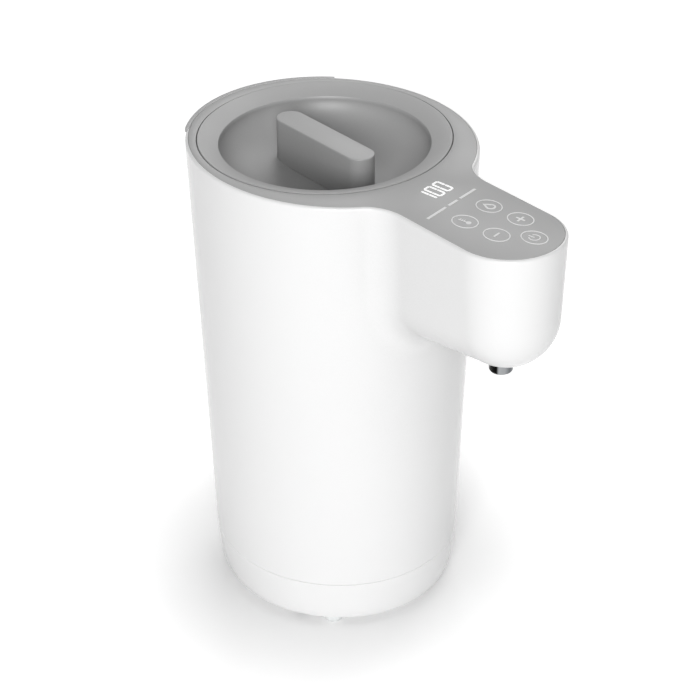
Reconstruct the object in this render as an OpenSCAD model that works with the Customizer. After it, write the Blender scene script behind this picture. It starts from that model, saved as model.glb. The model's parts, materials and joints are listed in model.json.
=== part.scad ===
// Formula water dispenser: a heated tank in an oval body, with a pump that sends the warm
// water through an arm to a nozzle over the bottle. Millimetres, +Z up, the arm towards -Y.

/* [Body] */
// Width of the body at the deck
body_w = 130; // [122:1:150]
// Length of the body at the deck, front to back
body_l = 143; // [136:1:165]
// Width of the body at the base seam
seam_w = 119.4; // [114:0.2:130]
// Length of the body at the base seam
seam_l = 124.8; // [121:0.2:140]
// Height of the deck above the floor
deck_h = 237.4; // [225:1:270]
// Height of the base seam above the floor
seam_h = 26.9; // [25:0.1:29]
// Wall thickness of the shell and of the base cover
wall = 2.4; // [1.8:0.1:2.8]
// Radius of the rounded white rim round the deck
rim_r = 1.3; // [0.9:0.1:1.6]
// How far the base cover's wall draws in towards the floor
cover_inset = 4.8; // [3:0.1:6]

/* [Arm] */
// Distance from the body axis to the centre of the arm's round end
arm_reach = 117.4; // [112:0.2:135]
// Width of the arm at the deck
arm_w = 51.6; // [48:0.2:58]
// Radius of the arm's round belly
belly_r = 23.7; // [22:0.1:25.5]
// Depth of the belly's centre below the deck, at the round end
belly_drop = 39.3; // [37:0.1:44]
// How far the belly's centre lies beyond the centre of the round end
belly_lead = 1.1; // [0:0.1:2]
// Slope of the belly, falling towards the body, in degrees
belly_slope = 8.3; // [4:0.1:10]
// Radius of the fillet between the arm and the body
neck_r = 17; // [12:0.5:20]

/* [Deck] */
// Thickness of the grey deck panel
deck_t = 2.2; // [1.6:0.1:2.8]
// Clearance between moulded parts that fit into each other
fit_gap = 0.1; // [0.05:0.01:0.2]
// Distance that the lid and the tank lie behind the body axis
tank_y = 5.1; // [4:0.1:6]
// Height of the grey lip over the rear edge
lip_h = 2; // [1.5:0.1:2.1]
// How far the rear lip stands out from the body
lip_out = 0.9; // [0.8:0.1:2]
// Half of the angle that the rear lip spans, in degrees
lip_span = 43; // [25:1:50]
// Slope of the rows of marks on the deck, in degrees
row_slant = 12; // [0:1:15]
// Slope of the columns of marks on the deck, in degrees
column_slant = 7.2; // [0:0.1:12]
// Width of a key's ring
key_w = 10.8; // [9:0.1:12]
// Length of a key's ring, as a share of the deck in front of the lid
key_l_share = 0.145; // [0.1:0.005:0.155]
// Distance between keys in a row
key_pitch = 17.8; // [15:0.1:19]
// Distance between rows of keys, as a share of the deck in front of the lid
key_row_share = 0.1966; // [0.17:0.001:0.2]
// Height of the figures on the display, as a share of the deck in front of the lid
digit_h_share = 0.117; // [0.09:0.001:0.12]
// Thickness of the printed marks
print_t = 0.15; // [0.1:0.01:0.3]

/* [Lid] */
// Width of the body's edge beside the lid
lid_edge = 6; // [5.5:0.1:7.5]
// Distance between the tank's wall and the rim of the lid's bowl
bowl_inset = 4.2; // [3.5:0.1:6]
// Depth of that lip below the lid's top
bowl_lip = 3.3; // [2:0.1:5]
// Depth of the bowl's floor below the lid's top
bowl_depth = 22; // [18:0.5:24]
// Radius of the flat floor of the bowl
bowl_floor_r = 15; // [8:1:22]
// Wall thickness of the lid
lid_wall = 2.4; // [1.8:0.1:3]
// Length of the grip bar
grip_l = 64; // [55:1:76]
// Width of the grip bar
grip_w = 13.6; // [10:0.1:18]
// Running gap round the lid
lid_gap = 0.3; // [0.2:0.05:0.6]

/* [Tank and heater] */
// Gap between the tank and the shell's wall, at the width that the body has at the seam
tank_gap = 3.3; // [3.1:0.1:6]
// Height of the tank's underside above the floor
tank_z = 62; // [61:0.5:66]
// Sheet thickness of the tank
tank_t = 0.8; // [0.5:0.1:1.2]
// Width of the tank's flange
flange_w = 3.4; // [2.5:0.1:3.6]
// Radius of the heater plate
heater_r = 31; // [28:0.5:32]
// Thickness of the heater plate
heater_t = 4; // [3:0.1:5]
// Thickness of the tubular heating element
element_d = 6.6; // [5:0.1:7]

/* [Pump and hoses] */
// Distance from the body axis forward to the pump and the tank's outlet
pump_y = 36; // [35:0.5:37]
// Radius of the pump's volute
pump_r = 17; // [16:0.5:18]
// Radius of the pump's motor
motor_r = 14; // [12:0.5:14.5]
// Radius of the pump's shaft
shaft_r = 1.5; // [1:0.1:2]
// Running clearance round the shaft
shaft_gap = 0.05; // [0.02:0.01:0.09]
// Bore radius of the riser hose
riser_bore_r = 3; // [2.5:0.1:3.2]
// Bore radius of the suction hose
suction_bore_r = 4; // [3:0.1:4.5]
// Wall thickness of both hoses
hose_wall = 1.3; // [1:0.1:1.5]
// Outer radius of the nozzle
nozzle_r = 5.4; // [4:0.05:5.5]
// Distance from the centre of the arm's round end back to the nozzle
nozzle_back = 1; // [0:0.1:6]
// How far the nozzle reaches below the belly
nozzle_out = 6; // [3:0.5:10]

/* [Electrics] */
// Width of the mains socket's cavity
socket_w = 24.4; // [22:0.1:25]
// Height of the mains socket's cavity
socket_h = 16.8; // [15:0.1:17.5]
// Gap between the mains inlet's flange and the lip of the base cover
inlet_gap = 0.4; // [0.3:0.1:2]
// Distance between the power board's edge and the outside of the body
board_inset = 21.7; // [21:0.1:28]
// Length of the power board
board_l = 46; // [40:1:47]
// Thickness of the circuit boards
board_t = 1.6; // [1:0.1:2]

/* [Hidden] */

// Smoothness of round parts and of hulled parts
$fn = 72;
hull_fn = 32;
oval_sides = 80;
arc_steps = 12;
root_steps = 10;
end_steps = 41;
// Angle by which arcs stop short of the line or arc that they join
join_turn = 2;
// Angle by which the deck's notch is longer than the rear lip at each end
end_gap = 0.3;
// Thickness of the slices that hulls are drawn between
sliver = 0.02;
// How far the arm's root stands proud of the forms that it joins
root_proud = 0.15;
// Overrun of a cut
over = 1;

// Outer sizes
body_half_w = body_w / 2;
body_half_l = body_l / 2;
seam_half_w = seam_w / 2;
seam_half_l = seam_l / 2;
arm_half = arm_w / 2;
rear_reach = body_half_l + lip_out;
front_reach = arm_reach + arm_half;
// The part is centred front to back, so the body axis lies a little to the rear
axis_y = (front_reach - rear_reach) / 2;
// The rim is rounded up to a narrow land beside the deck
rim_land = 0.3;
rim_round = rim_r - rim_land;
deck_under = deck_h - deck_t;
belly_front_y = -(arm_reach + belly_lead);
nozzle_y = arm_reach - nozzle_back;
// The straight back of the arm ends well inside the body
arm_back_y = -body_half_l / 2;

// Base cover, feet and posts
foot_h = 3;
foot_r = 4.6;
foot_stem_r = 2;
foot_x = 34;
foot_y = 39;
cover_floor = foot_h + wall;
cover_round = seam_h + foot_h;
cover_lip_h = 3.5;
cover_lip_t = 1.2;
lip_top = seam_h + cover_lip_h;
post_r = 4;
post_angle = 30;
post_top = 50;
post_sink = post_r * 1.5;
post_x = (seam_half_w - wall - post_sink) * cos(post_angle);
post_y = (seam_half_l - wall - post_sink) * sin(post_angle);

// Screws of two sizes: thread, head and the clear hole round the thread
screw_r = 1.4;
screw_head_r = 2.7;
screw_head_t = 1.8;
small_screw_r = 0.9;
small_head_r = 1.8;
small_head_t = 1.4;
thread_gap = 0.05;
screw_clear = 0.3;

// Lid's and tank's radii: the tank fits between the walls and hangs inside the lid's hole
lid_r = body_half_w - lid_edge;
flange_gap = 1.6;
tank_r = min(seam_half_w - wall - tank_gap, lid_r - flange_gap - flange_w);

// Collar, gasket and tank
collar_t = 4;
skirt_t = 1.5;
deck_hole_r = lid_r + lid_gap;
collar_drop = 6;
collar_top = deck_under - collar_drop;
collar_z = collar_top - collar_t;
collar_bore_r = tank_r + 0.6;
collar_post_h = 18;
collar_angle = 50;
collar_front_land = 9.6;
collar_post_x = (half_at(collar_z, body_half_w, seam_half_w) - wall) * cos(collar_angle);
collar_post_y = (half_at(collar_z, body_half_l, seam_half_l) - wall) * sin(collar_angle);
collar_front_y = post_sink * sin(collar_angle) - collar_post_y - collar_front_land;
gasket_t = 1.2;
flange_r = tank_r + flange_w;
flange_z = collar_top + gasket_t;
flange_top = flange_z + tank_t;
tank_corner = 6;
tank_inner_r = tank_r - tank_t;
bowl_r = tank_inner_r - bowl_inset;
element_ring_r = heater_r - 6;
element_gap = 0.1;
element_z = tank_z - heater_t - element_gap - element_d / 2;
element_span = 300;
terminal_r = 1.4;
terminal_l = 7;
clamp_t = 1.5;
clamp_w = 7;
clamp_half = heater_r + 4;
sensor_r = 4.5;
sensor_h = 6;
sensor_y = 13;
cutout_r = 7.5;
cutout_h = 5;
cutout_y = 12.5;

// Lid
lid_top = deck_h + lid_gap;
seal_t = 2;
lid_shoulder = flange_top + seal_t;
plug_r = tank_inner_r - 0.7;
plug_wall = 2;
bowl_round_r = bowl_r - bowl_floor_r;
bowl_round_h = bowl_depth - bowl_lip;
bowl_under = lid_top - bowl_depth - lid_wall;
inner_cover_t = 2;
inner_cover_gap = 2.2;
inner_cover_z = bowl_under - inner_cover_gap - inner_cover_t;
lid_boss_r = 3.4;
lid_boss_at = plug_r - 4 * lid_boss_r;
vent_r = 1.5;
grip_edge = 0.6;
grip_screw_at = 18;

// Pump stack, from the floor up
bracket_floor = 2.6;
motor_z = cover_floor + bracket_floor;
motor_h = 19;
volute_z = motor_z + motor_h;
volute_h = 14;
volute_wall = 2.4;
cap_t = 2.5;
cap_z = volute_z + volute_h;
port_gap = 0.05;
port_wall = 1;
suction_port_l = 7.5;
tank_stub_l = 8;
riser_x = 12;
riser_y = 54;
port_bend = 5;
port_z = volute_z + volute_h / 2;
port_top = port_z + 17;
impeller_r = 11.5;
impeller_plate = 1.5;
impeller_gap = 1.6;
vane_t = 1.2;
vane_h = 5;
vanes = 6;
hub_r = 3.2;
bracket_wall = 2.6;
bracket_h = 12;
ear_x = 22.5;
ear_r = 4;
ear_t = 2;
ear_boss_h = 5;

// Hoses and nozzle
riser_r = riser_bore_r + hose_wall;
suction_r = suction_bore_r + hose_wall;
riser_start = port_top - 7;
riser_bend = 18;
riser_run_z = deck_h - 31;
clip_t = 0.9;
clip_w = 4;
elbow_bend = 8;
elbow_wall = 1.5;
elbow_r = riser_bore_r - port_wall + 2 * elbow_wall;
elbow_port_l = 12;
hose_end_gap = 3;
run_angle = atan2(nozzle_y - riser_y, riser_x);
run_l = norm([riser_x, nozzle_y - riser_y]);
keel_z = deck_h - belly_drop - (arm_reach + belly_lead - nozzle_y) * tan(belly_slope) - belly_r;
nozzle_boss_r = 9;
nozzle_seat = keel_z + 8.5;
holder_r = 6.4;
holder_flange_r = 8.6;
holder_flange_t = 2;
holder_top = nozzle_seat + 6;
tip_top = holder_top - 2;
tip_bottom = keel_z - nozzle_out;
tip_bore_r = 3;
tip_round = 1.4;

// Control board and what stands on it
board_drop = 8;
control_z = deck_under - board_drop - board_t;
control_w = 34;
control_end = 14.2;
control_post_r = 2.3;
control_post_x = 14.4;
control_post_end = 8.6;
control_front_y = arm_reach + control_end;
control_post_front = arm_reach + control_post_end;
display_w = 18;
display_l = 14;
spring_r = 4.4;
stand_gap = 0.1;
// Length of the deck from the lid's hole to the end of the arm, and what is printed on it
deck_run = front_reach - deck_hole_r + tank_y;
key_l = key_l_share * deck_run;
key_row = key_row_share * deck_run;
digit_h = digit_h_share * deck_run;
keys_share = 0.419;
digits_share = 0.826;
bars_share = 0.674;
keys_x = 2.2;
keys_y = front_reach - keys_share * deck_run;
power_key_step = 1.3;
digits_x = 1.2;
digits_y = front_reach - digits_share * deck_run;
digit_w = 4.8;
digit_pitch = 5.9;
stroke = 1.15;
ring_stroke = 0.55;
bars_x = -1;
bars_y = front_reach - bars_share * deck_run;
bar_h = 1.3;
control_back_y = digits_y - display_l / 2 - board_t;
control_post_back = bars_y + bar_h / 2;

// Power board and mains inlet
board_w = 2 * (seam_half_w - board_inset);
power_z = cover_floor + 10.6;
power_y = 16;
power_post_r = 3;
power_post_inset = 5;
cable_w = 7;
cable_t = 1;
cable_side_gap = 1;
cable_x = -(belly_r - wall - cable_side_gap - cable_w / 2);
cable_back_y = -10;
cable_low_z = cap_z + cap_t + 1.6;
cable_rise_y = -51.2;
cable_high_z = control_z - 11;
cable_end_y = -(control_post_back - control_post_r - 2 * small_head_r);
inlet_wall = 1.5;
inlet_half_w = socket_w / 2 + inlet_wall;
inlet_half_h = socket_h / 2 + inlet_wall;
inlet_flange_w = 2.5;
socket_z = lip_top + inlet_gap + inlet_flange_w + inlet_half_h;
socket_depth = 16;
inlet_back = 4;
inlet_flange_t = 2;
inlet_rear_half = half_at(socket_z, body_half_l, seam_half_l);
inlet_side_half = half_at(socket_z, body_half_w, seam_half_w);
inlet_face_y = inlet_rear_half * sqrt(1 - pow(inlet_half_w / inlet_side_half, 2));
inlet_seat_y = inlet_face_y - wall - 1.4;
pin_t = 2;
pin_h = 4;
pin_l = 14;
pin_tail = 7;
pin_x = 7;
pin_z = 2;

// Half of the body's width or length at height z, between its value at the seam and at the deck
function half_at(z, top, low) = low + (top - low) * (z - seam_h) / (deck_h - seam_h);
// Points of an oval
function oval(a, b, from = 0, to = 360, steps = oval_sides) =
    [for (i = [0 : steps - (to - from == 360 ? 1 : 0)])
        let (t = from + (to - from) * i / steps) [a * cos(t), b * sin(t)]];
// Points of an arc round a centre
function arc(centre, r, from, to, steps = arc_steps) =
    [for (i = [0 : steps]) let (t = from + (to - from) * i / steps)
        centre + r * [cos(t), sin(t)]];
// Outward normal of an oval at parameter t
function normal(a, b, t) = let (v = [b * cos(t), a * sin(t)]) v / norm(v);
// Parameter at which a fillet of radius f that touches the arm's side also touches the oval
function neck_angle(a, b, w, f, low = -90, high = 0, tries = 24) =
    let (mid = (low + high) / 2, x = a * cos(mid) + f * normal(a, b, mid)[0])
    tries == 0 ? mid : x > w + f ? neck_angle(a, b, w, f, low, mid, tries - 1)
        : neck_angle(a, b, w, f, mid, high, tries - 1);
// Height over the axis line at which that fillet is centred
function neck_y(a, b, w, f) =
    let (t = neck_angle(a, b, w, f)) b * sin(t) + f * normal(a, b, t)[1];
function mirrored(points) =
    [for (i = [len(points) - 1 : -1 : 0]) [-points[i][0], points[i][1]]];
// Outline of the deck, seen from above, grown by a margin from the body's outer edge
function deck_outline(grow) =
    let (a = body_half_w + grow, b = body_half_l + grow, w = arm_half + grow, f = neck_r - grow,
        t = neck_angle(a, b, w, f), n = normal(a, b, t), y = neck_y(a, b, w, f),
        fillet = arc([w + f, y], f, 180, atan2(-n[1], -n[0]) + join_turn))
    concat(arc([0, -arm_reach], w, 180 + join_turn, 360 - join_turn, end_steps), fillet,
        oval(a, b, t, 180 - t, oval_sides), mirrored(fillet));
// Centre height of the belly at a place along the arm
function belly_z(y) = deck_h - belly_drop - (y - belly_front_y) * tan(belly_slope);
// How far the arm flares at y, where the flare begins at from
function flare(y, from, f) =
    f - sqrt(max(0, f * f - pow(min(f, max(0, y - from)), 2)));
// Cross-section of the arm's root at y, from the top of the wall round the belly
function root_section(y, grow, top, round) =
    let (f = neck_r - grow, w = arm_half + grow, r = belly_r + grow, z = belly_z(y),
        from_top = neck_y(body_half_w + grow, body_half_l + grow, w, f),
        from_side = neck_y(half_at(z, body_half_w, seam_half_w) + grow,
            half_at(z, body_half_l, seam_half_l) + grow, r, f),
        from_keel = -half_at(z - r, body_half_l, seam_half_l) - grow - f,
        x = w + flare(y, from_top, f),
        wall_side = round == 0 ? [[x, top]]
            : [[x - round, top], [x - 0.3 * round, top - 0.3 * round], [x, top - round]],
        belly = [for (i = [0 : arc_steps - 1])
            let (t = 90 * i / arc_steps, share = pow(sin(t), 2),
                g = r + flare(y, from_side * (1 - share) + from_keel * share, f))
            [g * cos(t), z - g * sin(t)]],
        half = concat(wall_side, belly))
    concat(half, [[0, z - r - flare(y, from_keel, f)]], mirrored(half));
// A place on the deck's slanted grid: u along a row, v along a column towards the nozzle
function on_grid(u, v) = [u * cos(row_slant) + v * sin(column_slant),
    u * sin(row_slant) - v * cos(column_slant)];
key_places = [[-key_pitch / 2, -key_row / 2], [key_pitch / 2, -key_row / 2],
    [-key_pitch / 2, key_row / 2], [key_pitch / 2, key_row / 2], [0, key_row * power_key_step]];
function key_at(i) = [keys_x, -keys_y] + on_grid(key_places[i][0], key_places[i][1]);
// Height of the bowl's surface at radius r, and the bowl's profile from the rim inwards
function bowl_z(r) = lid_top - bowl_lip
    - bowl_round_h * sqrt(max(0, 1 - pow(max(0, r - bowl_floor_r) / bowl_round_r, 2)));
bowl_curve = [for (i = [0 : arc_steps]) let (t = 90 * i / arc_steps)
    [bowl_floor_r + bowl_round_r * cos(t), lid_top - bowl_lip - bowl_round_h * sin(t)]];

// Moves a sub-part from the body axis to its place in the part
module on_axis() {
    translate([0, axis_y, 0]) children();
}
module on_tank() {
    translate([0, axis_y + tank_y, 0]) children();
}
module at_pump() {
    translate([0, axis_y - pump_y, 0]) children();
}
module at_nozzle() {
    translate([0, axis_y - nozzle_y, 0]) children();
}
// Draws children on both sides of the middle plane
module both_sides() {
    children();
    mirror([1, 0, 0]) children();
}
module tube(r, bore, h, z = 0) {
    translate([0, 0, z]) difference() {
        cylinder(r = r, h = h);
        translate([0, 0, -over]) cylinder(r = bore, h = h + 2 * over);
    }
}
// A block centred on x and y, standing on z
module block(size, z = 0) {
    translate([-size[0] / 2, -size[1] / 2, z]) cube(size);
}
// A screw with its head below z and its thread above, or turned over
module screw(r, head_r, head_t, l) {
    translate([0, 0, -head_t]) cylinder(r = head_r, h = head_t);
    cylinder(r = r, h = l);
}
module body_slice(z, grow) {
    translate([0, 0, z]) linear_extrude(sliver)
        polygon(oval(half_at(z, body_half_w, seam_half_w) + grow,
            half_at(z, body_half_l, seam_half_l) + grow));
}
module body_form(grow, low, top) {
    hull() {
        body_slice(low, grow);
        body_slice(top - sliver, grow);
    }
}
module arm_form(grow, top, round = 0) {
    hull() {
        for (y = [-arm_reach, arm_back_y]) {
            translate([0, y, top - sliver]) cylinder(r = arm_half + grow - round, h = sliver);
            translate([0, y, top - round - sliver]) cylinder(r = arm_half + grow, h = sliver);
            translate([0, y, top - 0.3 * round - sliver])
                cylinder(r = arm_half + grow - 0.3 * round, h = sliver);
        }
        for (y = [belly_front_y, arm_back_y])
            translate([0, y, belly_z(y)]) sphere(r = belly_r + grow, $fn = 2 * hull_fn);
    }
}
// The arm's root: cross-sections that flare from the arm's own to the body's wall
module root_form(grow, top, round = 0) {
    f = neck_r - grow;
    front = -body_half_l - f;
    t = neck_angle(body_half_w + grow, body_half_l + grow, arm_half + grow, f);
    back = (body_half_l + grow) * sin(t);
    places = [for (i = [0 : root_steps]) front + (back - front) * i / root_steps];
    rings = [for (y = places) root_section(y, grow + root_proud, top, round)];
    n = len(rings[0]);
    polyhedron(
        [for (i = [0 : root_steps], p = rings[i]) [p[0], places[i], p[1]]],
        concat([[for (k = [0 : n - 1]) k]],
            [for (i = [0 : root_steps - 1], k = [0 : n - 1]) let (m = (k + 1) % n, a = i * n)
                [a + m, a + k, a + n + k, a + n + m]],
            [[for (k = [n - 1 : -1 : 0]) root_steps * n + k]]));
}
module outer_form() {
    hull() {
        body_slice(seam_h, 0);
        for (t = [0 : 45 : 90])
            body_slice(deck_h - rim_round * (1 - sin(t)) - sliver, -rim_round * (1 - cos(t)));
    }
    arm_form(0, deck_h, rim_round);
    root_form(0, deck_h, rim_round);
}
module inner_form() {
    body_form(-wall, seam_h, deck_under);
    translate([0, 0, seam_h - over]) linear_extrude(over + sliver)
        polygon(oval(seam_half_w - wall, seam_half_l - wall));
    arm_form(-wall, deck_under);
    root_form(-wall, deck_under);
}
// The oval band of the rear lip, between two margins from the body's outer edge
module rear_band(inner, outer, span = lip_span) {
    steps = 2 * arc_steps;
    polygon(concat(
        oval(body_half_w + outer, body_half_l + outer, 90 - span, 90 + span, steps),
        oval(body_half_w + inner, body_half_l + inner, 90 + span, 90 - span, steps)));
}
module collar_place(side_y, sink = post_sink) {
    both_sides() translate([collar_post_x - sink * cos(collar_angle),
        side_y * (collar_post_y - sink * sin(collar_angle)), 0]) children();
}
module base_posts() {
    both_sides() for (y = [-post_y, post_y]) translate([post_x, y, 0]) children();
}
// A post that leans on the wall beside it
module wall_post(r, z, h) {
    hull() {
        translate([0, 0, z]) cylinder(r = r, h = h, $fn = hull_fn);
        translate([2 * r, 0, z]) cylinder(r = r / 3, h = h + r, $fn = hull_fn);
    }
}

module outer_shell() {
    color("white") on_axis() difference() {
        union() {
            difference() {
                outer_form();
                inner_form();
            }
            intersection() {
                union() {
                    base_posts() wall_post(post_r, lip_top, post_top - lip_top);
                    collar_place(-1) wall_post(post_r, collar_z - collar_post_h, collar_post_h);
                    collar_place(1, post_r) wall_post(post_r * 0.8, collar_z - collar_post_h,
                        collar_post_h);
                    translate([0, inlet_seat_y, 0]) inlet_pad();
                    nozzle_boss();
                }
                union() {
                    body_form(-wall / 2, seam_h, collar_z);
                    arm_form(-wall / 2, nozzle_seat + arm_w);
                }
            }
        }
        translate([0, 0, deck_under]) linear_extrude(deck_t + over)
            polygon(deck_outline(fit_gap - rim_r));
        translate([0, 0, deck_h - lip_h]) linear_extrude(lip_h + over)
            rear_band(-2 * rim_r, 2 * lip_out, lip_span + end_gap);
        base_posts() translate([0, 0, lip_top - over])
            cylinder(r = screw_r + thread_gap, h = post_top - lip_top);
        collar_place(-1) translate([0, 0, collar_z - collar_post_h + over])
            cylinder(r = screw_r + thread_gap, h = collar_post_h);
        translate([0, inlet_seat_y - over, socket_z])
            block([2 * (inlet_half_w + fit_gap), body_l, 2 * (inlet_half_h + fit_gap)],
                -inlet_half_h - fit_gap);
        translate([0, -nozzle_y, keel_z - over])
            cylinder(r = holder_r + fit_gap, h = nozzle_seat - keel_z + 2 * over);
    }
}
// Flat seat inside the rear wall for the mains inlet's flange
module inlet_pad() {
    half_w = inlet_half_w + inlet_flange_w + wall;
    half_h = inlet_half_h + inlet_flange_w;
    translate([-half_w, 0, socket_z - half_h]) cube([2 * half_w, body_half_l, 2 * half_h]);
}
module nozzle_boss() {
    translate([0, -nozzle_y, keel_z - over])
        cylinder(r = nozzle_boss_r, h = nozzle_seat - keel_z + over);
}

module cover_form(grow, low, top) {
    hull() {
        for (t = [20 : 23.3 : 90]) {
            z = low + (seam_h - foot_h) * (1 - sin(t)) / (1 - sin(15));
            translate([0, 0, z]) linear_extrude(sliver)
                polygon(oval(seam_half_w + grow - cover_inset * (1 - cos(t)),
                    seam_half_l + grow - cover_inset * (1 - cos(t))));
        }
        translate([0, 0, top - sliver]) linear_extrude(sliver)
            polygon(oval(seam_half_w + grow, seam_half_l + grow));
    }
}
module base_cover() {
    color("white") on_axis() difference() {
        union() {
            difference() {
                union() {
                    cover_form(0, foot_h, seam_h);
                    translate([0, 0, seam_h - over]) linear_extrude(cover_lip_h + over)
                        polygon(oval(seam_half_w - wall - fit_gap, seam_half_l - wall - fit_gap));
                }
                cover_form(-wall - cover_lip_t, cover_floor, seam_h + cover_lip_h + over);
            }
            intersection() {
                base_posts() translate([0, 0, cover_floor - over])
                    cylinder(r = post_r, h = lip_top - cover_floor + over);
                linear_extrude(deck_h) polygon(oval(seam_half_w - cover_inset - wall / 4,
                    seam_half_l - cover_inset - wall / 4));
            }
            cover_bosses();
        }
        base_posts() {
            translate([0, 0, foot_h - over])
                cylinder(r = screw_r + screw_clear, h = lip_top + over);
            translate([0, 0, foot_h - over])
                cylinder(r = screw_head_r + screw_clear, h = cover_floor - foot_h + 2 * over);
        }
        both_sides() for (y = [-foot_y, foot_y]) translate([foot_x, y, foot_h - over])
            cylinder(r = foot_stem_r + fit_gap, h = wall + 2 * over);
        both_sides() translate([ear_x, -pump_y, cover_floor])
            cylinder(r = screw_r + thread_gap, h = ear_boss_h + over);
        power_places() translate([0, 0, cover_floor])
            cylinder(r = screw_r + thread_gap, h = power_z);
    }
}
// Bosses on the cover's floor for the pump bracket and the power board
module cover_bosses() {
    both_sides() translate([ear_x, -pump_y, cover_floor - over])
        cylinder(r = ear_r, h = ear_boss_h + over);
    power_places() translate([0, 0, cover_floor - over])
        cylinder(r = power_post_r, h = power_z - cover_floor + over);
}
module power_places() {
    for (x = [-1, 1], y = [-1, 1])
        translate([x * (board_w / 2 - power_post_inset),
            power_y + y * (board_l / 2 - power_post_inset), 0]) children();
}
module rubber_feet() {
    color("whitesmoke") on_axis() both_sides() for (y = [-foot_y, foot_y])
        translate([foot_x, y, 0]) {
            cylinder(r = foot_r, h = foot_h);
            cylinder(r = foot_stem_r, h = foot_h + wall);
        }
}
module base_screws() {
    color("silver") on_axis() base_posts() translate([0, 0, cover_floor + over])
        screw(screw_r, screw_head_r, screw_head_t, post_top - cover_floor - 3 * over);
}

module deck_panel() {
    color("darkgray") difference() {
        union() {
            on_axis() translate([0, 0, deck_under]) linear_extrude(deck_t)
                polygon(deck_outline(-rim_r));
            on_tank() translate([0, 0, collar_top])
                cylinder(r = deck_hole_r + skirt_t, h = collar_drop + deck_t / 2);
            control_posts() translate([0, 0, control_z + board_t])
                cylinder(r = control_post_r, h = board_drop + deck_t / 2);
        }
        on_tank() translate([0, 0, collar_top - over])
            cylinder(r = deck_hole_r, h = deck_h);
        control_posts() translate([0, 0, control_z])
            cylinder(r = small_screw_r + thread_gap, h = board_t + board_drop - over);
    }
}
module control_posts() {
    on_axis() both_sides() for (y = [control_post_back, control_post_front])
        translate([control_post_x, -y, 0]) children();
}
module rear_lip() {
    color("darkgray") on_axis() translate([0, 0, deck_h - lip_h]) linear_extrude(lip_h)
        rear_band(2 * fit_gap - rim_r, lip_out);
}

// One bar of a figure between two grid places
module stroke_bar(a, b, w) {
    d = (b - a) / norm(b - a) * w / 2;
    n = [-d[1], d[0]];
    polygon([a - d - n, b + d - n, b + d + n, a - d + n]);
}
// Strokes of a seven-segment figure, by the corners they join
segments = [[[-1, -1], [1, -1]], [[1, -1], [1, 0]], [[1, 0], [1, 1]], [[1, 1], [-1, 1]],
    [[-1, 1], [-1, 0]], [[-1, 0], [-1, -1]]];
zero = [0, 1, 2, 3, 4, 5];
one = [1, 2];
module figure(lit, u) {
    half_w = (digit_w - stroke) / 2;
    half_h = (digit_h - stroke) / 2;
    for (s = lit) {
        a = on_grid(u + segments[s][0][0] * half_w, segments[s][0][1] * half_h);
        b = on_grid(u + segments[s][1][0] * half_w, segments[s][1][1] * half_h);
        cut = (b - a) / norm(b - a) * stroke * 0.6;
        stroke_bar(a + cut, b - cut, stroke * 0.8);
    }
}
module print_on(x, y) {
    on_axis() translate([x, y, deck_h]) linear_extrude(print_t) children();
}
module display_digits() {
    color("white") print_on(digits_x, -digits_y) {
        figure(one, -digit_pitch);
        figure(zero, 0);
        figure(zero, digit_pitch);
    }
}
module key_ring(w, l, t) {
    difference() {
        polygon(oval(w / 2, l / 2, 0, 360, 4 * arc_steps));
        polygon(oval(w / 2 - t, l / 2 - t, 0, 360, 4 * arc_steps));
    }
}
module key_marks() {
    icon = key_w / 4;
    color("white") {
        for (i = [0 : len(key_places) - 1]) print_on(key_at(i)[0], key_at(i)[1])
            key_ring(key_w, key_l, ring_stroke);
        print_on(key_at(0)[0], key_at(0)[1]) thermometer(icon);
        print_on(key_at(1)[0], key_at(1)[1]) drop(icon);
        print_on(key_at(2)[0], key_at(2)[1]) stroke_bar(on_grid(-icon * 0.6, 0),
            on_grid(icon * 0.6, 0), ring_stroke * 1.6);
        print_on(key_at(3)[0], key_at(3)[1]) {
            stroke_bar(on_grid(-icon * 0.7, 0), on_grid(icon * 0.7, 0), ring_stroke * 1.6);
            stroke_bar(on_grid(0, -icon * 0.7), on_grid(0, icon * 0.7), ring_stroke * 1.6);
        }
        print_on(key_at(4)[0], key_at(4)[1]) power_mark(icon);
    }
}
module thermometer(size) {
    rotate(row_slant) {
        translate([0, -size * 0.7]) circle(r = size * 0.45);
        translate([-ring_stroke / 2, -size * 0.7]) square([ring_stroke, 2 * size]);
        for (i = [0 : 2]) translate([ring_stroke / 2, size * (0.2 + 0.4 * i)])
            square([size * 0.35, ring_stroke * 0.6]);
    }
}
module drop(size) {
    rotate(row_slant) difference() {
        polygon(concat([[0, size * 1.3]], arc([0, -size * 0.3], size * 0.9, 25, -205)));
        polygon(concat([[0, size * 0.7]], arc([0, -size * 0.3], size * 0.55, 20, -200)));
    }
}
module power_mark(size) {
    gap = 35;
    rotate(row_slant) {
        polygon(concat(arc([0, 0], size, 90 + gap, 450 - gap),
            arc([0, 0], size - ring_stroke, 450 - gap, 90 + gap)));
        translate([-ring_stroke / 2, 0]) square([ring_stroke, size * 1.1]);
    }
}
// Three plain bars that stand where the deck's lettering would be
bar_share = [[-0.5, -0.12], [-0.06, 0.12], [0.18, 0.5]];
bars_l = 35;
module status_bars() {
    color("white") print_on(bars_x, -bars_y) for (b = bar_share)
        stroke_bar(on_grid(b[0] * bars_l + bar_h / 2, 0), on_grid(b[1] * bars_l - bar_h / 2, 0),
            bar_h);
}

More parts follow.
